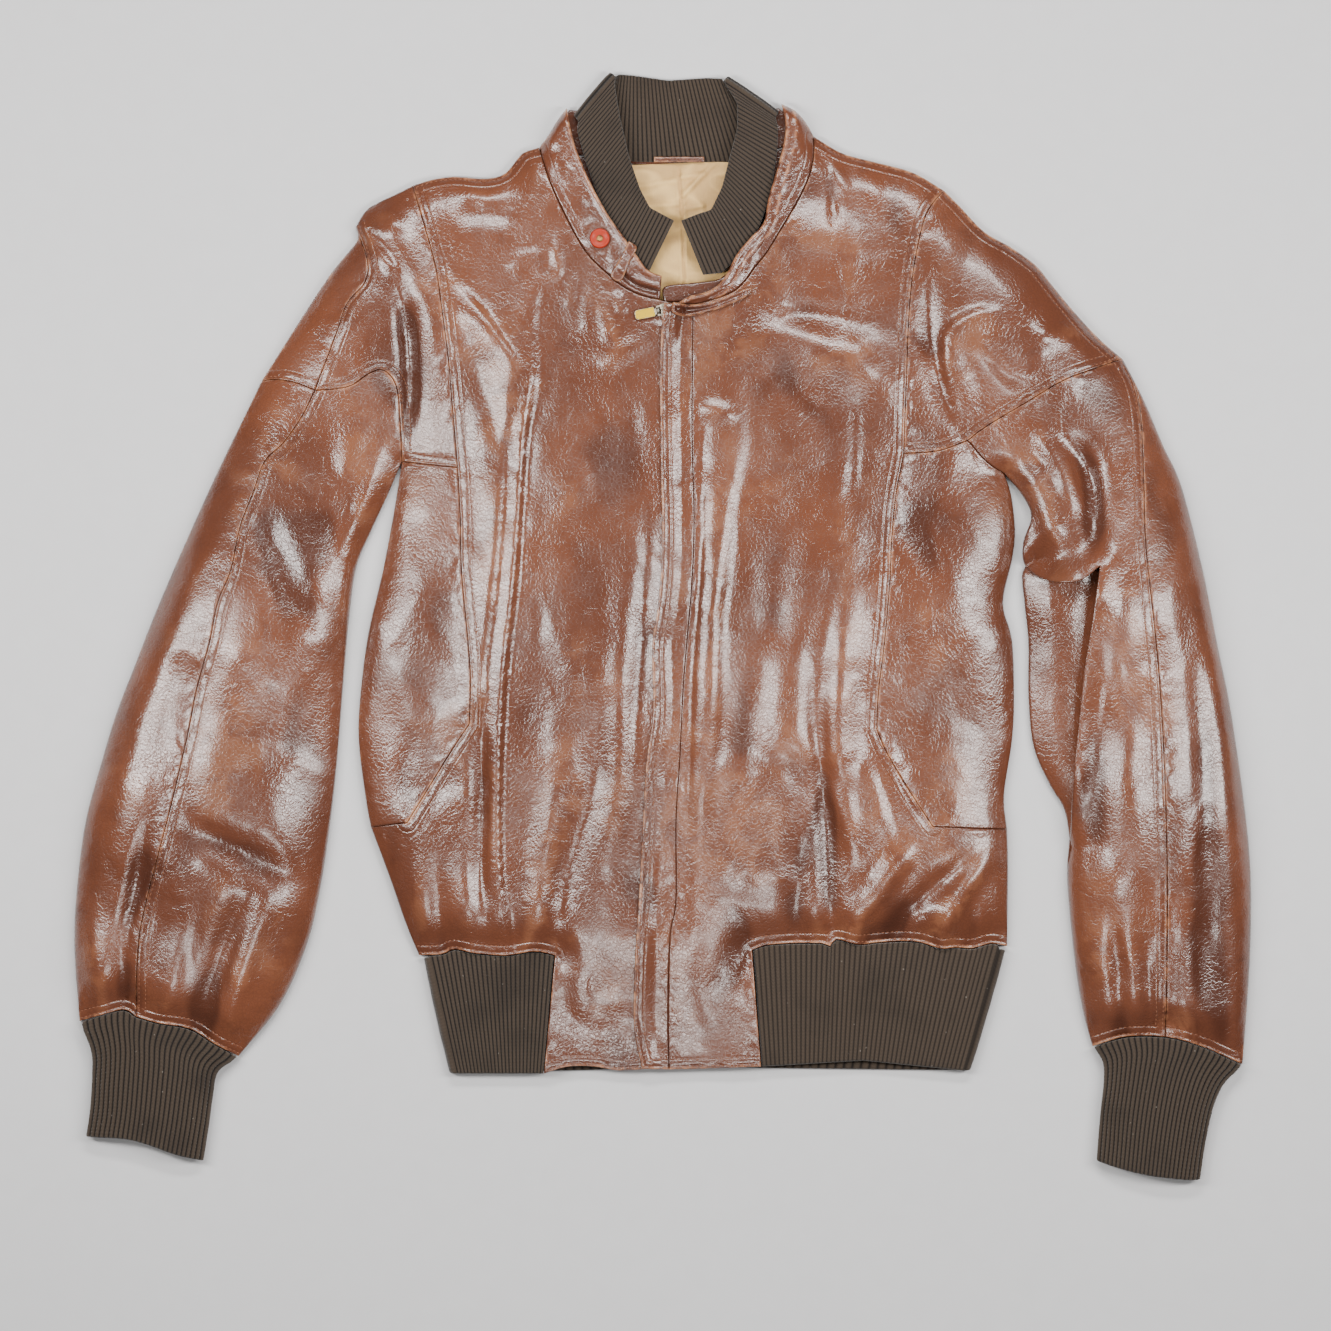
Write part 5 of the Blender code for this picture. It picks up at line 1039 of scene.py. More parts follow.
def bandLow(side):
    crest, neck, free, end = bands[side]

    def low(points):
        toNeck = nearestOn(points, seamLine(neck, 0.006))[0]
        toFree, travelled, length, _ = nearestOn(points, seamLine(free, 0.006))
        share = soften(toNeck / (toNeck + toFree + 1e-9))
        rise = crest[0] + (crest[1] - crest[0]) * soften(travelled / length * bands["riseSpan"])
        height = leatherLow(points)[0] * (1 - share) + rise * share
        middle = soften(4 * share * (1 - share))
        creases = 0.45 - np.abs(roughness(points, 0.017, 31.0)) * 1.6 + 0.5 * roughness(points, 0.009, 37.0)
        height = height + bands["wrinkle"] * mm * creases * middle
        height = height + bands["bead"] * np.exp(-(((toFree - 0.0022) / 0.0016) ** 2))
        if side == "right":
            height = height + 0.0005 * np.exp(-(((toFree - 0.0075) / 0.0014) ** 2))
        if side == "left":
            centre = (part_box("button")[0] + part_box("button")[1]) / 2
            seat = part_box("button")[0].z - bands["leather"] - 0.0003
            near = soften(1.7 - np.linalg.norm(points - (centre.x, centre.y), axis=1) / 0.0085)
            height = height * (1 - near) + seat * near
            hollow = nearestOn(points, smoothLine(plan(bands["cavity"]), 0.003))[0]
            above = toNeck > toFree
            sunk = np.exp(-((hollow / 0.0021) ** 2))
            rolled = np.exp(-(((hollow - 0.0048) / 0.0020) ** 2))
            height = height - bands["cavityDepth"] * sunk + bands["lip"] * rolled * (0.6 + 0.6 * above)
            # painted shade: the cavity's fold value is set low so that the cavity under the rolled end is painted
            # dark
            creases = creases - 3.5 * sunk
            middle = np.maximum(middle, sunk)
        away = nearestOn(points, seamLine(end, 0.006))[0]
        return garment["base"] + (height - garment["base"]) * dome(away, bands["endReach"]), creases * middle

    return low


def bandRub(side):
    def rub(points):
        free = nearestOn(points, seamLine(bands[side][2], 0.004))[0]
        end = nearestOn(points, seamLine(bands[side][3], 0.004))[0]
        edge = 1.1 * np.exp(-((free / 0.0026) ** 2)) + 0.7 * np.exp(-((end / 0.0020) ** 2))
        if side == "right":
            edge = edge + 0.75 * np.exp(-(((free - 0.0080) / 0.0012) ** 2))
        return edge * (0.8 + 0.5 * roughness(points, 0.012, 47.0))

    return rub


plainSheet("sleeve_right_under", insetLoop(loopOf(panelSeams["sleeve_right_under"]), 0.00015), underSleeveLow,
           garment["leather"], skins["leather"])
# the facing takes the leather copy painted darker as shade
plainSheet("throat_facing", loopOf(["facingEdge"], 0.003), facingLow, garment["leather"], skins["inner"])
for side in ("left", "right"):
    name = "band_" + side
    plainSheet(name, insetLoop(loopOf(panelSeams[name], 0.003), 0.00015), bandLow(side), bands["leather"],
               skins["leather"], rub=bandRub(side), step=0.0026,
               rowAway=lambda points, side=side: nearestOn(points, seamLine(bands[side][1], 0.004))[0] + 0.001)
print("bands and hidden parts made")


straps = {
    "clearance": 0.0004,
    "probe": 0.0022,
    "latch": 0.0016,
    "keeper": 0.0015,
    "lip": 0.0020,               # how far the latch's folded edges stand over the hollow between them
    "lipWidth": 0.0016,
    "hollow": (694, 26),         # where the hollow closes towards the latch's end, and over how many pixels
}


def strapLow(carriers, bend, seed, edge=None):
    def low(points):
        highest = np.zeros(len(points))
        for turn in np.linspace(0, 2 * math.pi, 8, endpoint=False):
            shifted = points + straps["probe"] * np.array([math.cos(turn), math.sin(turn)])
            highest = np.maximum(highest, topAt([trees[carrier] for carrier in carriers], shifted))
        known = np.flatnonzero(highest > 0)
        for index in np.flatnonzero(highest <= 0):
            highest[index] = highest[known[np.linalg.norm(points[known] - points[index], axis=1).argmin()]]
        ripple = bend * roughness(points, 0.011, seed)
        if edge is None:
            return highest + straps["clearance"] + np.abs(ripple), ripple / mm
        away = nearestOn(points, np.vstack([edge, edge[:1]]))[0]
        lip = np.exp(-(((away - 0.0012) / straps["lipWidth"]) ** 2))
        start, reach = plan([(straps["hollow"][0], 300)])[0, 0], straps["hollow"][1] * 0.00075
        closed = soften((points[:, 0] - start) / reach)
        lip = np.maximum(lip, 0.55 * closed)
        # the second value is the fold depth, set low in the hollow between the folded edges so that the hollow is
        # painted dark as shade
        return highest + straps["clearance"] + straps["lip"] * lip, -2.2 * (1 - lip) * (1 - closed) + ripple / mm

    return low


def strapRub(loop):
    closed = np.vstack([loop, loop[:1]])
    return lambda points: 0.95 * np.exp(-((nearestOn(points, closed)[0] / 0.0011) ** 2))


latchLoop = loopOf(["latchEdge"], 0.0025)
plainSheet("throat_latch", latchLoop, strapLow(["placket", "front_right", "band_right"], 0.0004, 3.0, latchLoop),
           straps["latch"], skins["leather"], rub=strapRub(latchLoop), step=0.0012,
           rowAway=lambda points: nearestOn(points, np.vstack([latchLoop, latchLoop[:1]]))[0] + 0.0001)
keeperLoop = loopOf(["keeperEdge"], 0.0020)
plainSheet("keeper_loop", keeperLoop, strapLow(["band_left", "front_left"], 0.0003, 5.0), straps["keeper"],
           skins["leather"], rub=strapRub(keeperLoop))


def hangerStrip():
    ends = plan([(654, 160), (704, 160)])
    half = 0.0020
    loop = np.array([(x, ends[0, 1] - half) for x in np.linspace(ends[0, 0], ends[1, 0], 26)]
                    + [(x, ends[0, 1] + half) for x in np.linspace(ends[1, 0], ends[0, 0], 26)])
    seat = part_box("hanger_loop")[0].z

    def low(points):
        share = np.clip((points[:, 0] - ends[0, 0]) / (ends[1, 0] - ends[0, 0]), 0, 1)
        return seat + 0.0012 * np.sin(math.pi * share) + 0.0001 * roughness(points, 0.006, 2.0), share * 0

    # the hanger loop takes the leather copy painted darker as shade
    plainSheet("hanger_loop", loop, low, 0.0010, skins["inner"], rub=strapRub(loop), rows=(0.0004, 0.0010))


hangerStrip()
print("straps made")


liningCloth = {
    "low": 0.0023,
    "thickness": 0.0010,
    "room": 0.0030,
    "tucks": [((640, 187), (674, 181)), ((648, 207), (684, 204)), ((681, 178), (704, 174)),
              ((684, 196), (700, 176)), ((686, 209), (703, 206))],
}


def liningLow(points):
    base = np.full(len(points), liningCloth["low"])
    crease = nearestOn(points, smoothLine(plan([(713, 165), (700, 178), (685, 193)]), 0.004))[0]
    seam = nearestOn(points, smoothLine(plan([(679, 171), (682, 220), (685, 300)]), 0.004))[0]
    folded = 0.5 - 1.3 * np.abs(roughness(points * (0.6, 1) + 0.02 * points[:, ::-1], 0.017, 19.0))
    waves = folded + 0.45 * roughness(points * (1, 0.5), 0.024, 37.0) + 0.15 * roughness(points, 0.008, 29.0)
    rise = np.clip(waves, 0, 1.2) * liningCloth["room"] + 0.0018 * np.exp(-((crease / 0.0020) ** 2))
    rise = rise + 0.0009 * np.exp(-(((seam - 0.0022) / 0.0013) ** 2)) - 0.0009 * np.exp(-((seam / 0.0013) ** 2))
    tucks = np.zeros(len(points))
    for start, end in liningCloth["tucks"]:
        away = nearestOn(points, smoothLine(plan([start, end]), 0.003))[0]
        tucks = np.maximum(tucks, np.exp(-((away / 0.0018) ** 2)))
    rise = rise + 0.0014 * tucks
    shade = -0.9 * np.exp(-((seam / 0.0011) ** 2)) + 0.3 * tucks
    return base + np.maximum(rise, 0), waves * 2 - 1.2 + shade


plainSheet("lining", loopOf(["liningEdge"], 0.004), liningLow, liningCloth["thickness"], skins["lining"],
           step=0.0024)
print("lining made")


knitCut = {
    "thickness": 0.0025,
    "rise": 0.0011,
    "drop": 0.0006,
    "columns": 6,                # columns of points to a rib
    "collarInside": 0.0048,
    "bulge": 0.0008,
    "collarFold": 0.0021,
    "collarPitch": 0.0032,
    "waistFold": 0.0024,
    "loop": 0.0026,              # length of one row of knit loops
}
# The collar's knit: the free edge, the seam edge and the height of the inside at each in millimetres.
collarRight = [
    ((681, 222), (703, 276), 19.0, 16.0), ((696, 216), (722, 274), 18.5, 16.0), ((711, 211), (738, 259), 17.5, 15.5),
    ((722, 188), (759, 229), 15.5, 14.0), ((729, 160), (771, 194), 13.5, 12.0), ((737, 130), (777, 152), 11.0, 10.5),
    ((737, 104), (778, 128), 9.6, 9.6),
]
collarBack = [((722, 79), (752, 157)), ((705, 78.5), (729, 162)), ((668, 81), (681, 163)), ((634, 76), (634, 162)),
              ((619, 75), (606, 157))]
collarLeft = [
    ((615, 88), (577, 131), 9.6, 9.6), ((620, 118), (585, 161), 11.0, 10.5), ((629, 157), (598, 197), 13.5, 12.0),
    ((640, 190), (613, 229), 15.5, 14.0), ((650, 209), (628, 251), 17.5, 15.5), ((674, 222), (649, 273), 19.0, 16.0),
]
collarCreases = {"right": ((727, 77), (779, 113)), "left": ((611, 73), (574, 117))}
waistRibs = {"left": 25, "right": 47, "back": 60}
cuffRibs = 26
cuffShapes = {
    "cuff_left": {
        "hem": ("cuffSeamLeftA", "cuffSeamLeftB"),
        "near": [(82, 1025), (92, 1050), (93, 1074), (91, 1108), (87, 1136)],
        "far": [(238, 1058), (219, 1071), (214, 1095), (209, 1130), (204, 1160)],
        "mouth": [(87, 1136), (124, 1138), (146, 1143), (177, 1154), (204, 1160)],
    },
    "cuff_right": {
        "hem": ("cuffSeamRightA", "cuffSeamRightB"),
        "near": [(1093, 1048), (1102, 1060), (1103, 1080), (1099, 1120), (1096, 1160)],
        "far": [(1241, 1066), (1224, 1082), (1213, 1105), (1205, 1140), (1199, 1179)],
        "mouth": [(1096, 1160), (1120, 1168), (1150, 1175), (1184, 1179), (1199, 1179)],
    },
}
cuffSize = {"heightStart": 0.0165, "heightMouth": 0.0150, "underside": 8.0, "crown": 3.2}


def ribProfile(turn):
    # 0 in the valley between two ribs, 1 on the crest
    return np.abs(np.sin(math.pi * np.asarray(turn))) ** 0.5


def knitShares(length):
    # rows of points from the free edge to the seam edge, closer where the edges round over
    ends = np.array([0, 0.0003, 0.0008, 0.0016]) / length
    inner = np.linspace(0.0034, length - 0.0034, max(4, round(length / 0.0036))) / length
    return np.concatenate([ends, inner, 1 - ends[::-1]])


def knitShell(name, free, sewn, normals, turns):
    # a ribbed wall: each column runs from its free point to its sewn one, thick along its normal
    free, sewn, normals, turns = (np.asarray(value, float) for value in (free, sewn, normals, turns))
    length = np.linalg.norm(free - sewn, axis=1).mean()
    shares = knitShares(length)
    count, rows = len(free), len(shares)
    reach = knitCut["thickness"] / 2
    fromEdge = np.minimum(shares, 1 - shares) * length
    rounded = np.sqrt(np.clip(1 - np.clip(1 - fromEdge / reach, 0, 1) ** 2, 0.02, 1))
    atEnds = np.minimum(np.arange(count), np.arange(count)[::-1]) / 3.0
    ends = np.sqrt(np.clip(1 - np.clip(1 - atEnds, 0, 1) ** 2, 0.05, 1))
    ribs = ribProfile(turns)
    outer, inner, run = [], [], []
    for row, share in enumerate(shares):
        middle = free * (1 - share) + sewn * share
        middle = middle + normals * (4 * share * (1 - share) * knitCut["bulge"] + reach)[..., None]
        wave = 0.00025 * roughness(middle[:, :2], 0.012, 61.0)
        full = rounded[row] * ends
        lift = (reach + knitCut["rise"] * ribs + wave) * full
        drop = (reach - 0.0006 * (1 - ribs)) * full
        outer.append(middle + normals * lift[:, None])
        inner.append(middle - normals * drop[:, None])
        run.append(np.full(count, share * length / knitCut["loop"]))
    vertices = np.concatenate(outer + inner)
    layer = count * rows
    faces = []
    for row in range(rows - 1):
        for column in range(count - 1):
            a, b = row * count + column, row * count + column + 1
            c, d = b + count, a + count
            faces += [(a, b, c, d), (layer + d, layer + c, layer + b, layer + a)]
    for column in range(count - 1):
        last = (rows - 1) * count + column
        faces += [(column + 1, column, layer + column, layer + column + 1),
                  (last, last + 1, layer + last + 1, layer + last)]
    for row in range(rows - 1):
        a, b = row * count, (row + 1) * count
        faces += [(a, b, layer + b, layer + a), (b + count - 1, a + count - 1, layer + a + count - 1,
                                                  layer + b + count - 1)]
    values = {"ribTurn": np.tile(turns, 2 * rows), "ribRun": np.tile(np.concatenate(run), 2),
              "ribLevel": np.tile(ribs, 2 * rows)}
    return knitObject(name, vertices, faces, values)


def knitObject(name, vertices, faces, values):
    made = newObject(name.replace("_", ".") + ".knit", vertices, faces, skins["knit"])
    for label, value in values.items():
        attribute = made.data.attributes.new(label, "FLOAT", "POINT")
        attribute.data.foreach_set("value", np.asarray(value, np.float32))
    shape = bmesh.new()
    shape.from_mesh(made.data)
    bmesh.ops.recalc_face_normals(shape, faces=shape.faces)
    shape.to_mesh(made.data)
    shape.free()
    built[name] = made
    trees[name] = surfaceTree(made)
    return made


def between(start, end, share):
    return np.asarray(start, float) * (1 - share) + np.asarray(end, float) * share


def foldColumns(crease, radius, inside, outward, tall, count):
    # points and normals round a half circle, where a knit wall turns over on itself
    outward = np.asarray(outward) / np.linalg.norm(outward)
    columns = []
    for angle in np.linspace(-math.pi / 2, math.pi / 2, count):
        normal = np.array([outward[0] * math.cos(angle), outward[1] * math.cos(angle), math.sin(angle)])
        ends = []
        for point in crease:
            centre = np.asarray(point) - outward * (radius + tall)
            ends.append(np.array([centre[0], centre[1], inside + radius]) + normal * radius)
        columns.append((ends[0], ends[1], normal))
    return columns


def evenRibs(guides, pitch, smooth):
    # columns at an even pitch along a run of guides: free end, sewn end, normal, and the rib that each lies on
    parts = [np.array([guide[part] for guide in guides], float) for part in range(3)]
    middle = (parts[0] + parts[1]) / 2
    along = np.concatenate([[0], np.cumsum(np.linalg.norm(np.diff(middle, axis=0), axis=1))])
    ribs = round(along[-1] / pitch)
    count = ribs * knitCut["columns"] + 1
    places = np.linspace(0, along[-1], count)
    kernel = np.hanning(2 * smooth + 3)[1:-1]
    even = []
    for part in parts:
        spread = np.stack([np.interp(places, along, part[:, axis]) for axis in range(3)], 1)
        ends = [2 * spread[0] - spread[1:smooth + 1][::-1], spread, 2 * spread[-1] - spread[-smooth - 1:-1][::-1]]
        padded = np.concatenate(ends)
        even.append(np.stack([np.convolve(padded[:, axis], kernel / kernel.sum(), "valid") for axis in range(3)], 1))
    even[2] /= np.linalg.norm(even[2], axis=1)[:, None]
    return *even, np.linspace(0, ribs, count)


def collarKnit():
    inside = knitCut["collarInside"]
    guides = []

    def strip(stations, sense):
        for station in stations:
            heights = np.array(station[2:] or (inside / mm, inside / mm)) * mm
            ends = plan(station[:2])
            guides.append((np.array([*ends[0], heights[0]]), np.array([*ends[1], heights[1]]), (0, 0, sense)))

    def crease(points, outward, sense):
        columns = foldColumns(plan(points), knitCut["collarFold"], inside, outward, knitCut["thickness"], 13)
        guides.extend(columns[::sense])

    strip(collarRight, 1)
    crease(collarCreases["right"], (0.61, 0.79), -1)
    strip(collarBack, -1)
    crease(collarCreases["left"], (-0.77, 0.64), 1)
    strip(collarLeft, 1)
    knitShell("collar_knit", *evenRibs(guides, knitCut["collarPitch"], knitCut["columns"]))


def alongLine(line, shares):
    lengths = np.concatenate([[0], np.cumsum(np.linalg.norm(np.diff(line, axis=0), axis=1))])
    at = np.asarray(shares) * lengths[-1]
    return np.stack([np.interp(at, lengths, line[:, 0]), np.interp(at, lengths, line[:, 1])], 1)


def clipLine(line, start, end):
    if line[0, 0] > line[-1, 0]:
        line = line[::-1]
    low, high = min(start, end), max(start, end)
    middle = line[(line[:, 0] > low) & (line[:, 0] < high)]
    ends = np.interp([low, high], line[:, 0], line[:, 1])
    clipped = np.vstack([[low, ends[0]], middle, [high, ends[1]]])
    return clipped if start < end else clipped[::-1]


def waistKnit():
    drop = np.array([0, -knitCut["drop"]])
    back, front = knitCut["thickness"], knitCut["thickness"] + 2 * knitCut["waistFold"]
    free, sewn, normals, turns = [], [], [], []

    def add(top, bottom, heightHere, normal, advance):
        free.append(np.array([*bottom, heightHere]))
        sewn.append(np.array([*top, heightHere]))
        normals.append(np.asarray(normal, float))
        turns.append((turns[-1] if turns else 0) + advance)

    def frontPart(hem, bottom, ribs):
        shares = np.linspace(0, 1, knitCut["columns"] * ribs + 1)
        for top, low in zip(alongLine(hem, shares) + drop, alongLine(bottom, shares)):
            add(top, low, front, (0, 0, 1), 1 / knitCut["columns"])

    def fold(crease, outward, upwards):
        columns = foldColumns(crease, knitCut["waistFold"], back, outward, knitCut["thickness"], 11)[1:-1]
        for top, bottom, normal in columns if upwards else columns[::-1]:
            free.append(bottom)
            sewn.append(top)
            normals.append(normal)
            turns.append(turns[-1] + 0.2)

    leftCrease, rightCrease = plan([(425, 957), (451, 1073)]), plan([(1004, 949), (969, 1070)])
    inward = np.array([knitCut["waistFold"] + knitCut["thickness"], 0])
    leftTop = clipLine(seamLine("-hemLeft", 0.004), plan([(554, 0)])[0, 0], leftCrease[0, 0] + inward[0])
    rightTop = clipLine(seamLine("-hemRight", 0.004), plan([(753, 0)])[0, 0], rightCrease[0, 0] - inward[0])
    leftBottom = np.array([plan([(543.4, 1073)])[0], leftCrease[1] + inward])
    rightBottom = np.array([plan([(761.7, 1066)])[0], plan([(863, 1060)])[0], rightCrease[1] - inward])
    frontPart(leftTop, leftBottom, waistRibs["left"])
    fold(leftCrease, (-1.0, 0), False)
    backTop = clipLine(seamLine("backHem", 0.004)[::-1], leftTop[-1, 0], rightTop[-1, 0])
    backBottom = np.array([leftBottom[-1], plan([(700, 1067)])[0], rightBottom[-1]])
    shares = np.linspace(0, 1, 6 * waistRibs["back"] + 1)
    for top, low in zip(alongLine(backTop, shares) + drop, alongLine(backBottom, shares)):
        add(top, low, back + knitCut["rise"], (0, 0, -1), 1 / 6)
    fold(rightCrease, (1.0, 0), True)
    frontPart(rightTop[::-1], rightBottom[::-1], waistRibs["right"])
    knitShell("waist_rib", free, sewn, normals, turns)


def cuffKnit(name):
    shape = cuffShapes[name]
    hem = np.vstack([seamLine(shape["hem"][0], 0.004), seamLine(shape["hem"][1], 0.004)[1:]])
    near, far, mouth = (smoothLine(plan(shape[key]), 0.006) for key in ("near", "far", "mouth"))
    start = clipLine(hem, near[0, 0] + garment["seamGap"], far[0, 0] - garment["seamGap"]) - (0, knitCut["drop"])
    near[0], far[0] = start[0], start[-1]
    fine = knitCut["columns"]
    upper = np.linspace(0, 1, fine * cuffRibs + 1)
    lower = np.linspace(1, 0, 4 * cuffRibs + 1)[1:-1]
    shares = np.concatenate([upper, lower])
    isLower = np.arange(len(shares)) >= len(upper)
    turns = np.concatenate([upper * cuffRibs, cuffRibs + (1 - lower) * cuffRibs])
    ribs = ribProfile(turns)
    length = np.linalg.norm(near[0] - near[-1])

    def planAt(across, down):
        top, bottom = alongLine(start, across), alongLine(mouth, across)
        left, right = alongLine(near, [down])[0], alongLine(far, [down])[0]
        across = across[:, None]
        corners = ((1 - across) * (1 - down) * start[0] + across * (1 - down) * start[-1]
                   + (1 - across) * down * mouth[0] + across * down * mouth[-1])
        return (1 - down) * top + down * bottom + (1 - across) * left + across * right - corners

    def ring(down, shrink):
        height = between(cuffSize["heightStart"], cuffSize["heightMouth"], down) - 2 * shrink
        width = np.linalg.norm(planAt(np.array([1.0]), down) - planAt(np.array([0.0]), down))
        narrowed = np.clip(0.5 + (shares - 0.5) * (1 - 2 * shrink / width), 0, 1)
        places = planAt(narrowed, down)
        across = np.abs(2 * shares - 1)
        below = 0.5 * height * (1 - np.sqrt(1 - across ** cuffSize["underside"]))
        above = 0.5 * height * (1 + np.sqrt(1 - across ** cuffSize["crown"]))
        up = np.where(isLower, below, above) + shrink
        return np.column_stack([places, np.maximum(up, 0.0)])

    rows = knitShares(length)
    fromEdge = np.minimum(rows, 1 - rows) * length
    reach = knitCut["thickness"] / 2
    rounded = np.sqrt(np.clip(1 - np.clip(1 - fromEdge / reach, 0, 1) ** 2, 0.02, 1))
    outer, inner, run = [], [], []
    for row, down in enumerate(rows):
        gathered = 0.0005 * roughness(np.column_stack([turns * 0.003, np.full(len(turns), down * 0.05)]), 0.012, 7.0)
        rise = (knitCut["rise"] * ribs + gathered) * ~isLower + 0.0002 * ribs * isLower
        outer.append(ring(down, reach - (reach + rise) * rounded[row]))
        inner.append(ring(down, reach + (reach - 0.0005 * (1 - ribs)) * rounded[row]))
        run.append(np.full(len(shares), down * length / knitCut["loop"]))
    count = len(shares)
    layer = count * len(rows)
    faces = []
    for column in range(count):
        after = (column + 1) % count
        for row in range(len(rows) - 1):
            a, b = row * count + column, row * count + after
            faces += [(a, b, b + count, a + count), (layer + a + count, layer + b + count, layer + b, layer + a)]
        last = (len(rows) - 1) * count
        faces += [(column, layer + column, layer + after, after),
                  (last + after, layer + last + after, layer + last + column, last + column)]
    values = {"ribTurn": np.tile(turns, 2 * len(rows)), "ribRun": np.tile(np.concatenate(run), 2),
              "ribLevel": np.tile(ribs, 2 * len(rows))}
    knitObject(name, np.concatenate(outer + inner), faces, values)


collarKnit()
waistKnit()
cuffKnit("cuff_left")
cuffKnit("cuff_right")
print("knit collar, waistband and cuffs made")


cap = {"radius": 0.0075, "sides": 72, "centre": 0.30}


def buttonCap():
    low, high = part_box("button")
    centre = (low + high) / 2
    radius, height = cap["radius"], high.z - low.z
    profile = [(0, 0), (0.78, 0), (0.93, 0.10), (0.99, 0.30), (1.0, 0.50), (0.985, 0.70), (0.94, 0.90), (0.88, 0.99),
               (0.81, 1.0), (0.73, 0.94), (0.62, 0.84), (0.52, 0.79), (0.42, 0.77), (0.34, 0.77), (0.31, 0.82),
               (0.29, 0.95), (0.25, 1.0), (0.18, 0.98), (0.10, 0.93), (0, 0.92)]
    shape = bmesh.new()
    rings = []
    for share, up in profile:
        if share == 0:
            rings.append([shape.verts.new((centre.x, centre.y, low.z + up * height))])
            continue
        rings.append([shape.verts.new((centre.x + radius * share * math.cos(2 * math.pi * side / cap["sides"]),
                                       centre.y + radius * share * math.sin(2 * math.pi * side / cap["sides"]),
                                       low.z + up * height)) for side in range(cap["sides"])])
    for index, (ring, after) in enumerate(zip(rings[:-1], rings[1:])):
        brass = profile[index + 1][0] <= 0.31 and index > 8
        for side in range(cap["sides"]):
            nextSide = (side + 1) % cap["sides"]
            corners = [ring[side % len(ring)], ring[nextSide % len(ring)], after[nextSide % len(after)],
                       after[side % len(after)]]
            face = shape.faces.new(list(dict.fromkeys(corners)))
            face.material_index = 1 if brass else 0
            face.smooth = True
    bmesh.ops.recalc_face_normals(shape, faces=shape.faces)
    made = newObject("button.cap", [], [], skins["red"])
    made.data.materials.append(skins["brass"])
    shape.to_mesh(made.data)
    shape.free()
    built["button"] = made


buttonCap()


pull = {
    "length": 0.0180, "width": 0.0076, "thickness": 0.0013, "turn": 11.5, "start": 0.0026, "corner": 0.0022,
    "frame": 0.0006, "frameRise": 0.00020, "eye": 0.0016, "hole": 0.00095, "eyeLength": 0.0044,
}


def pullTab():
    # a rounded plate in a raised rim, on an eye that turns on the slider's pin
    joint = frame["joints"]["pull_tab_hinge"] if isinstance(frame["joints"], dict) else frame["joints"][0]
    pivot = Vector(joint["pos_m"])
    turn = math.radians(pull["turn"])
    along, across = Vector((-math.cos(turn), -math.sin(turn), 0)), Vector((-math.sin(turn), math.cos(turn), 0))
    half, far, near = pull["width"] / 2, pull["length"], pull["start"]
    outline = []
    for cornerX, cornerY, first in ((far, half, 0), (near, half, 1), (near, -half, 2), (far, -half, 3)):
        radius = pull["corner"] if first in (0, 3) else 0.0008
        centreX, centreY = cornerX - math.copysign(radius, cornerX - (far + near) / 2), cornerY - math.copysign(radius, cornerY)
        for step in range(9):
            angle = math.pi / 2 * (first + step / 8)
            outline.append((centreX + radius * math.cos(angle), centreY + radius * math.sin(angle)))
    outline = np.array(outline)
    middle = np.array([(far + near) / 2, 0])
    thick = pull["thickness"] / 2
    shape = bmesh.new()
    levels = [(0.00035, -thick, 0), (0, -thick + 0.00030, 0), (0, thick - 0.00030, 0), (0.00030, thick, 0),
              (pull["frame"] - 0.0001, thick, 0), (pull["frame"], thick - pull["frameRise"], 1),
              (0.0021, thick - pull["frameRise"], 1)]

    def ring(inset, up):
        direction = outline - middle
        scale = 1 - inset / np.array([(far - near) / 2, half])
        return [shape.verts.new(pivot + along * (middle[0] + x * scale[0]) + across * (y * scale[1])
                                + Vector((0, 0, up))) for x, y in direction]

    rings = [ring(inset, up) for inset, up, _ in levels]
    for index, (first, second) in enumerate(zip(rings[:-1], rings[1:])):
        for side in range(len(outline)):
            after = (side + 1) % len(outline)
            face = shape.faces.new((first[side], first[after], second[after], second[side]))
            face.material_index = levels[index + 1][2]
            face.smooth = True
    shape.faces.new(rings[-1]).material_index = 1
    shape.faces.new(rings[0][::-1])
    sides = 28
    for radius in (pull["eye"],):
        circles = []
        for side, inner in ((-1, False), (1, False), (1, True), (-1, True)):
            size = pull["hole"] if inner else radius
            circles.append([shape.verts.new(pivot + across * (side * pull["eyeLength"] / 2)
                                            + along * (size * math.cos(2 * math.pi * k / sides))
                                            + Vector((0, 0, size * math.sin(2 * math.pi * k / sides))))
                            for k in range(sides)])
        for first, second in zip(circles, circles[1:] + circles[:1]):
            for k in range(sides):
                face = shape.faces.new((first[k], first[(k + 1) % sides], second[(k + 1) % sides], second[k]))
                face.smooth = True
    neck = bmesh.ops.create_cube(shape, size=1.0)["verts"]
    for vertex in neck:
        x, y, z = vertex.co
        vertex.co = (pivot + along * (0.5 * (pull["start"] + 0.0006) + pull["hole"] / 2 + x * 0.0020)
                     + across * (y * pull["eyeLength"]) + Vector((0, 0, z * 0.0011)))
    bmesh.ops.recalc_face_normals(shape, faces=shape.faces)
    made = newObject("zip.tab.plate", [], [], skins["zip"])
    made.data.materials.append(skins["yellow"])
    shape.to_mesh(made.data)
    shape.free()
    built["zip_tab"] = made


pullTab()
print("button and zip pull made")


stitch = {
    "pitch": 0.0036,
    "length": 0.0027,
    "width": 0.00062,
    "sink": 0.00005,
    "rows": (0.0022, 0.0072),
    "endGap": 0.004,
    "lineStep": 0.0022,
}


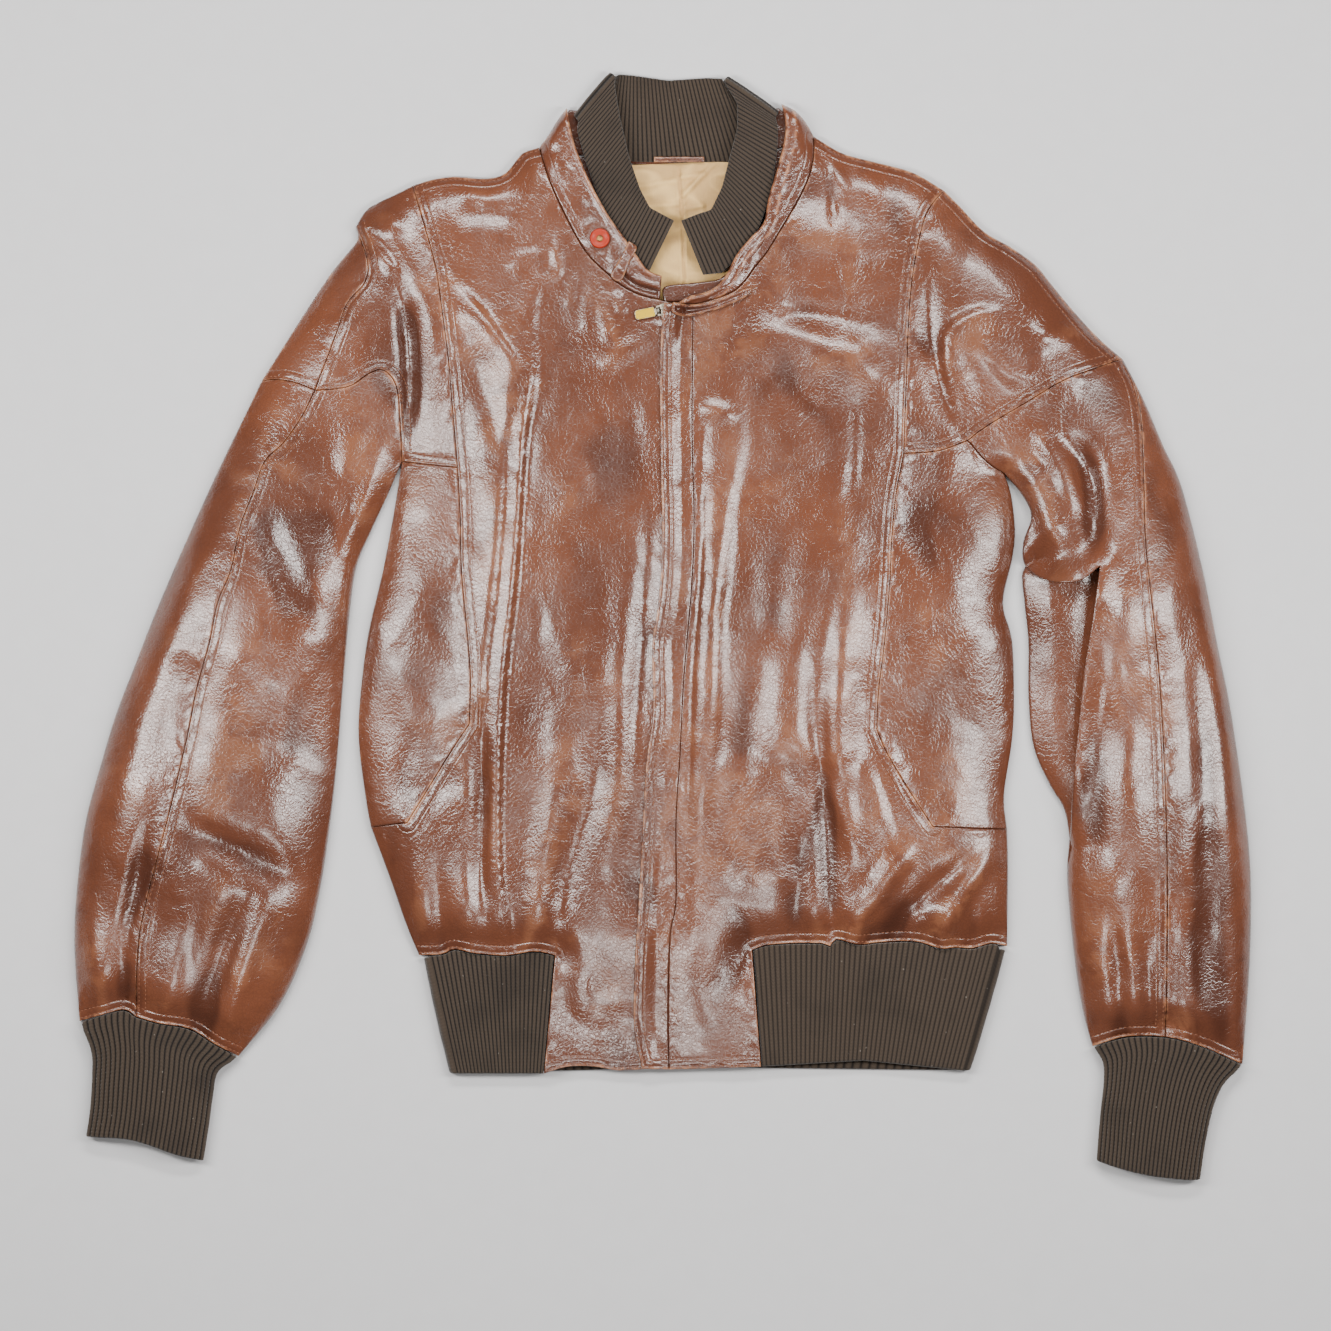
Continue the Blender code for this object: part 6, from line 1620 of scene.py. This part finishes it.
def stitchLines(name, seamName, away):
    # the row's course over the panel's surface, cut where it leaves the panel
    line = seamLine(seamName, 0.003)
    loop = insetLoop(loopOf(panelSeams[name]), 0.0016)
    direction = np.gradient(line, axis=0)
    direction /= np.linalg.norm(direction, axis=1)[:, None]
    side = np.stack([-direction[:, 1], direction[:, 0]], 1)
    best = max((1, -1), key=lambda sign: isInside(line + sign * 0.003 * side, loop).sum())
    row = smoothLine(line + best * away * side, stitch["lineStep"])
    kept = isInside(row, loop) & (nearestOn(row, line)[0] > 0.8 * away)
    runs, run = [], []
    for place, good in zip(row, kept):
        if good:
            hit = trees[name].ray_cast(Vector((*place, 0.2)), Vector((0, 0, -1)))[0]
            if hit:
                run.append((place[0], place[1], hit.z - stitch["sink"]))
                continue
        if len(run) > 3:
            runs.append(run)
        run = []
    if len(run) > 3:
        runs.append(run)
    return runs


def boxLines(name, loop, away, closed=True):
    # a row of stitches round a strap
    ring = insetLoop(loop, away)
    ring = np.vstack([ring, ring[:1]]) if closed else ring
    places = [(*place, trees[name].ray_cast(Vector((*place, 0.2)), Vector((0, 0, -1)))[0]) for place in ring]
    return [[(x, y, hit.z - stitch["sink"]) for x, y, hit in places if hit]]


def stitchNodes():
    tree = bpy.data.node_groups.new("stitchesAlongLines", "GeometryNodeTree")
    tree.is_modifier = True
    face = tree.interface
    face.new_socket("Lines", in_out="INPUT", socket_type="NodeSocketGeometry")
    for label in ("Pitch", "Length", "Width"):
        face.new_socket(label, in_out="INPUT", socket_type="NodeSocketFloat")
    face.new_socket("Thread", in_out="INPUT", socket_type="NodeSocketMaterial")
    face.new_socket("Stitches", in_out="OUTPUT", socket_type="NodeSocketGeometry")

    def node(kind, links=None, **settings):
        made = tree.nodes.new(kind)
        for label, value in settings.items():
            setattr(made, label, value)
        for label, value in (links or {}).items():
            if isinstance(value, bpy.types.NodeSocket):
                tree.links.new(value, made.inputs[label])
            else:
                made.inputs[label].default_value = value
        return made

    given = node("NodeGroupInput").outputs
    curve = node("GeometryNodeMeshToCurve", {"Mesh": given["Lines"]}).outputs["Curve"]
    spaced = node("GeometryNodeResampleCurve", {"Curve": curve, "Length": given["Pitch"]}, mode="LENGTH")
    tangent = node("GeometryNodeInputTangent").outputs[0]
    facing = node("FunctionNodeAlignRotationToVector", {"Vector": tangent}, axis="X")
    ball = node("GeometryNodeMeshUVSphere", {"Segments": 6, "Rings": 4, "Radius": 0.5})
    size = node("ShaderNodeCombineXYZ", {"X": given["Length"], "Y": given["Width"], "Z": given["Width"]})
    thread = node("GeometryNodeTransform", {"Geometry": ball.outputs["Mesh"], "Scale": size.outputs[0]})
    placed = node("GeometryNodeInstanceOnPoints", {"Points": spaced.outputs["Curve"],
                                                   "Instance": thread.outputs["Geometry"],
                                                   "Rotation": facing.outputs["Rotation"]})
    real = node("GeometryNodeRealizeInstances", {"Geometry": placed.outputs["Instances"]})
    smooth = node("GeometryNodeSetShadeSmooth", {"Geometry": real.outputs["Geometry"]})
    finished = node("GeometryNodeSetMaterial", {"Geometry": smooth.outputs["Geometry"], "Material": given["Thread"]})
    node("NodeGroupOutput", {"Stitches": finished.outputs["Geometry"]})
    return tree


stitchTree = stitchNodes()


def sewn(name, lines, thread):
    # lays the stitches along the lines and returns them as one plain mesh
    vertices, edges = [], []
    for line in lines:
        start = len(vertices)
        vertices += line
        edges += [(start + i, start + i + 1) for i in range(len(line) - 1)]
    mesh = bpy.data.meshes.new(name + "Lines")
    mesh.from_pydata(vertices, edges, [])
    rows = bpy.data.objects.new(name + "Lines", mesh)
    bpy.context.scene.collection.objects.link(rows)
    step = rows.modifiers.new("stitches", "NODES")
    step.node_group = stitchTree
    values = {"Pitch": stitch["pitch"], "Length": stitch["length"], "Width": stitch["width"], "Thread": thread}
    for item in stitchTree.interface.items_tree:
        if item.item_type == "SOCKET" and item.in_out == "INPUT" and item.name in values:
            step[item.identifier] = values[item.name]
    evaluated = rows.evaluated_get(bpy.context.evaluated_depsgraph_get())
    laid = bpy.data.meshes.new_from_object(evaluated)
    made = bpy.data.objects.new(name, laid)
    bpy.context.scene.collection.objects.link(made)
    bpy.data.objects.remove(rows)
    return made


groups = {"stitches.front": ["front_left", "front_right", "placket"],
          "stitches.yokes": ["yoke_left", "yoke_left_back", "yoke_right"],
          "stitches.sleeves": ["sleeve_left_upper", "sleeve_left_outer", "sleeve_right_upper",
                               "sleeve_right_outer"]}
threads = {}
for label, panels in groups.items():
    lines = []
    for panelName in panels:
        for seamName in stitchedSeams[panelName]:
            for away in stitch["rows"]:
                lines += stitchLines(panelName, seamName, away)
    threads[label] = sewn(label, lines, skins["thread"])
strapLines = boxLines("throat_latch", latchLoop, 0.0016)
threads["stitches.straps"] = sewn("stitches.straps", strapLines, skins["thread"])
for label, made in threads.items():
    print(label, len(made.data.polygons), "faces")


ribCuts = {"collar_knit": (0.50, 0.048), "waist_rib": (0.86, 0.089), "cuff_left": (0.23, 0.086),
           "cuff_right": (0.21, 0.088)}        # width along the ribs' row and length, as cut, doubled over
tooNarrow = ("keeper_loop", "hanger_loop", "band_back", "button", "zip_tab")


def halfSurface(made):
    made.data.calc_loop_triangles()
    return sum(triangle.area for triangle in made.data.loop_triangles) / 2


for name, made in built.items():
    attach(made, "zip_pull" if name == "zip_tab" else "jacket")
    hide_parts(name)
    if name in tooNarrow:
        continue
    if name in ribCuts:
        size, area = np.array(ribCuts[name]), None
    else:
        size, area = flatCuts[name]
        size = size * 1.04
        area = area * 1.08
    print("cloth", name, [round(float(side), 3) for side in size], round(halfSurface(made), 4))
    None if area is None else float(min(area, size.prod()))
for made in threads.values():
    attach(made, "jacket")
slider = frame["nodes"]["zip_slider"]
slider.data.materials.clear()
slider.data.materials.append(skins["zip"])
print("pieces tied to the frame")


def floorFinish():
    paper = Finish("paleFloor", Specular_IOR_Level=0.3)
    grain = paper.noise(paper.place(), 60.0, 3.0)
    tone = paper.mix((0.70, 0.70, 0.71, 1), (0.66, 0.66, 0.67, 1), grain)
    return paper.finish(tone, 0.75 + 0.1 * grain)


studio = {
    "floor": 4.0,
    "air": (0.62, 0.64, 0.68, 1), "airStrength": 0.11,
    # place, the place aimed at, width, length, power and colour of each soft light
    "lights": {
        "above": ((0.04, -0.55, 1.45), (0.03, 0.0, 0), 0.60, 0.15, 6, (1.0, 0.975, 0.95)),
        "left": ((-0.90, 0.12, 1.25), (-0.10, 0.0, 0), 0.24, 1.00, 20, (1.0, 0.98, 0.96)),
        "right": ((0.98, 0.05, 1.25), (0.10, 0.0, 0), 0.24, 1.00, 20, (1.0, 0.98, 0.96)),
        "head": ((0.05, 0.95, 1.25), (0.0, 0.1, 0), 1.00, 0.24, 18, (1.0, 0.985, 0.97)),
    },
    "cameraHeight": 6.00,
    "cameraOver": (0.00225, -0.0296),
    "frameWidth": 0.99825,
}

floorMesh = bpy.data.meshes.new("floor")
reach = studio["floor"] / 2
floorMesh.from_pydata([(-reach, -reach, -0.0004), (reach, -reach, -0.0004), (reach, reach, -0.0004),
                       (-reach, reach, -0.0004)], [], [(0, 1, 2, 3)])
floorMesh.materials.append(floorFinish())
floor = bpy.data.objects.new("floor", floorMesh)
bpy.context.scene.collection.objects.link(floor)

air = bpy.data.worlds.new("studioAir")
air.use_nodes = True
air.node_tree.nodes["Background"].inputs["Color"].default_value = studio["air"]
air.node_tree.nodes["Background"].inputs["Strength"].default_value = studio["airStrength"]
bpy.context.scene.world = air

for label, (place, aim, width, length, power, colour) in studio["lights"].items():
    lamp = bpy.data.lights.new(label, "AREA")
    lamp.shape = "RECTANGLE"
    lamp.size, lamp.size_y = width, length
    lamp.energy = power
    lamp.color = colour
    light = bpy.data.objects.new(label, lamp)
    light.visible_camera = False
    light.location = place
    light.rotation_euler = (Vector(aim) - Vector(place)).to_track_quat("-Z", "Y").to_euler()
    bpy.context.scene.collection.objects.link(light)

lens = bpy.data.cameras.new("overhead")
lens.sensor_width = 36.0
lens.lens = 36.0 * studio["cameraHeight"] / studio["frameWidth"]
camera = bpy.data.objects.new("overhead", lens)
camera.location = (*studio["cameraOver"], studio["cameraHeight"])
bpy.context.scene.collection.objects.link(camera)
bpy.context.scene.camera = camera
print("floor, lights and camera placed")
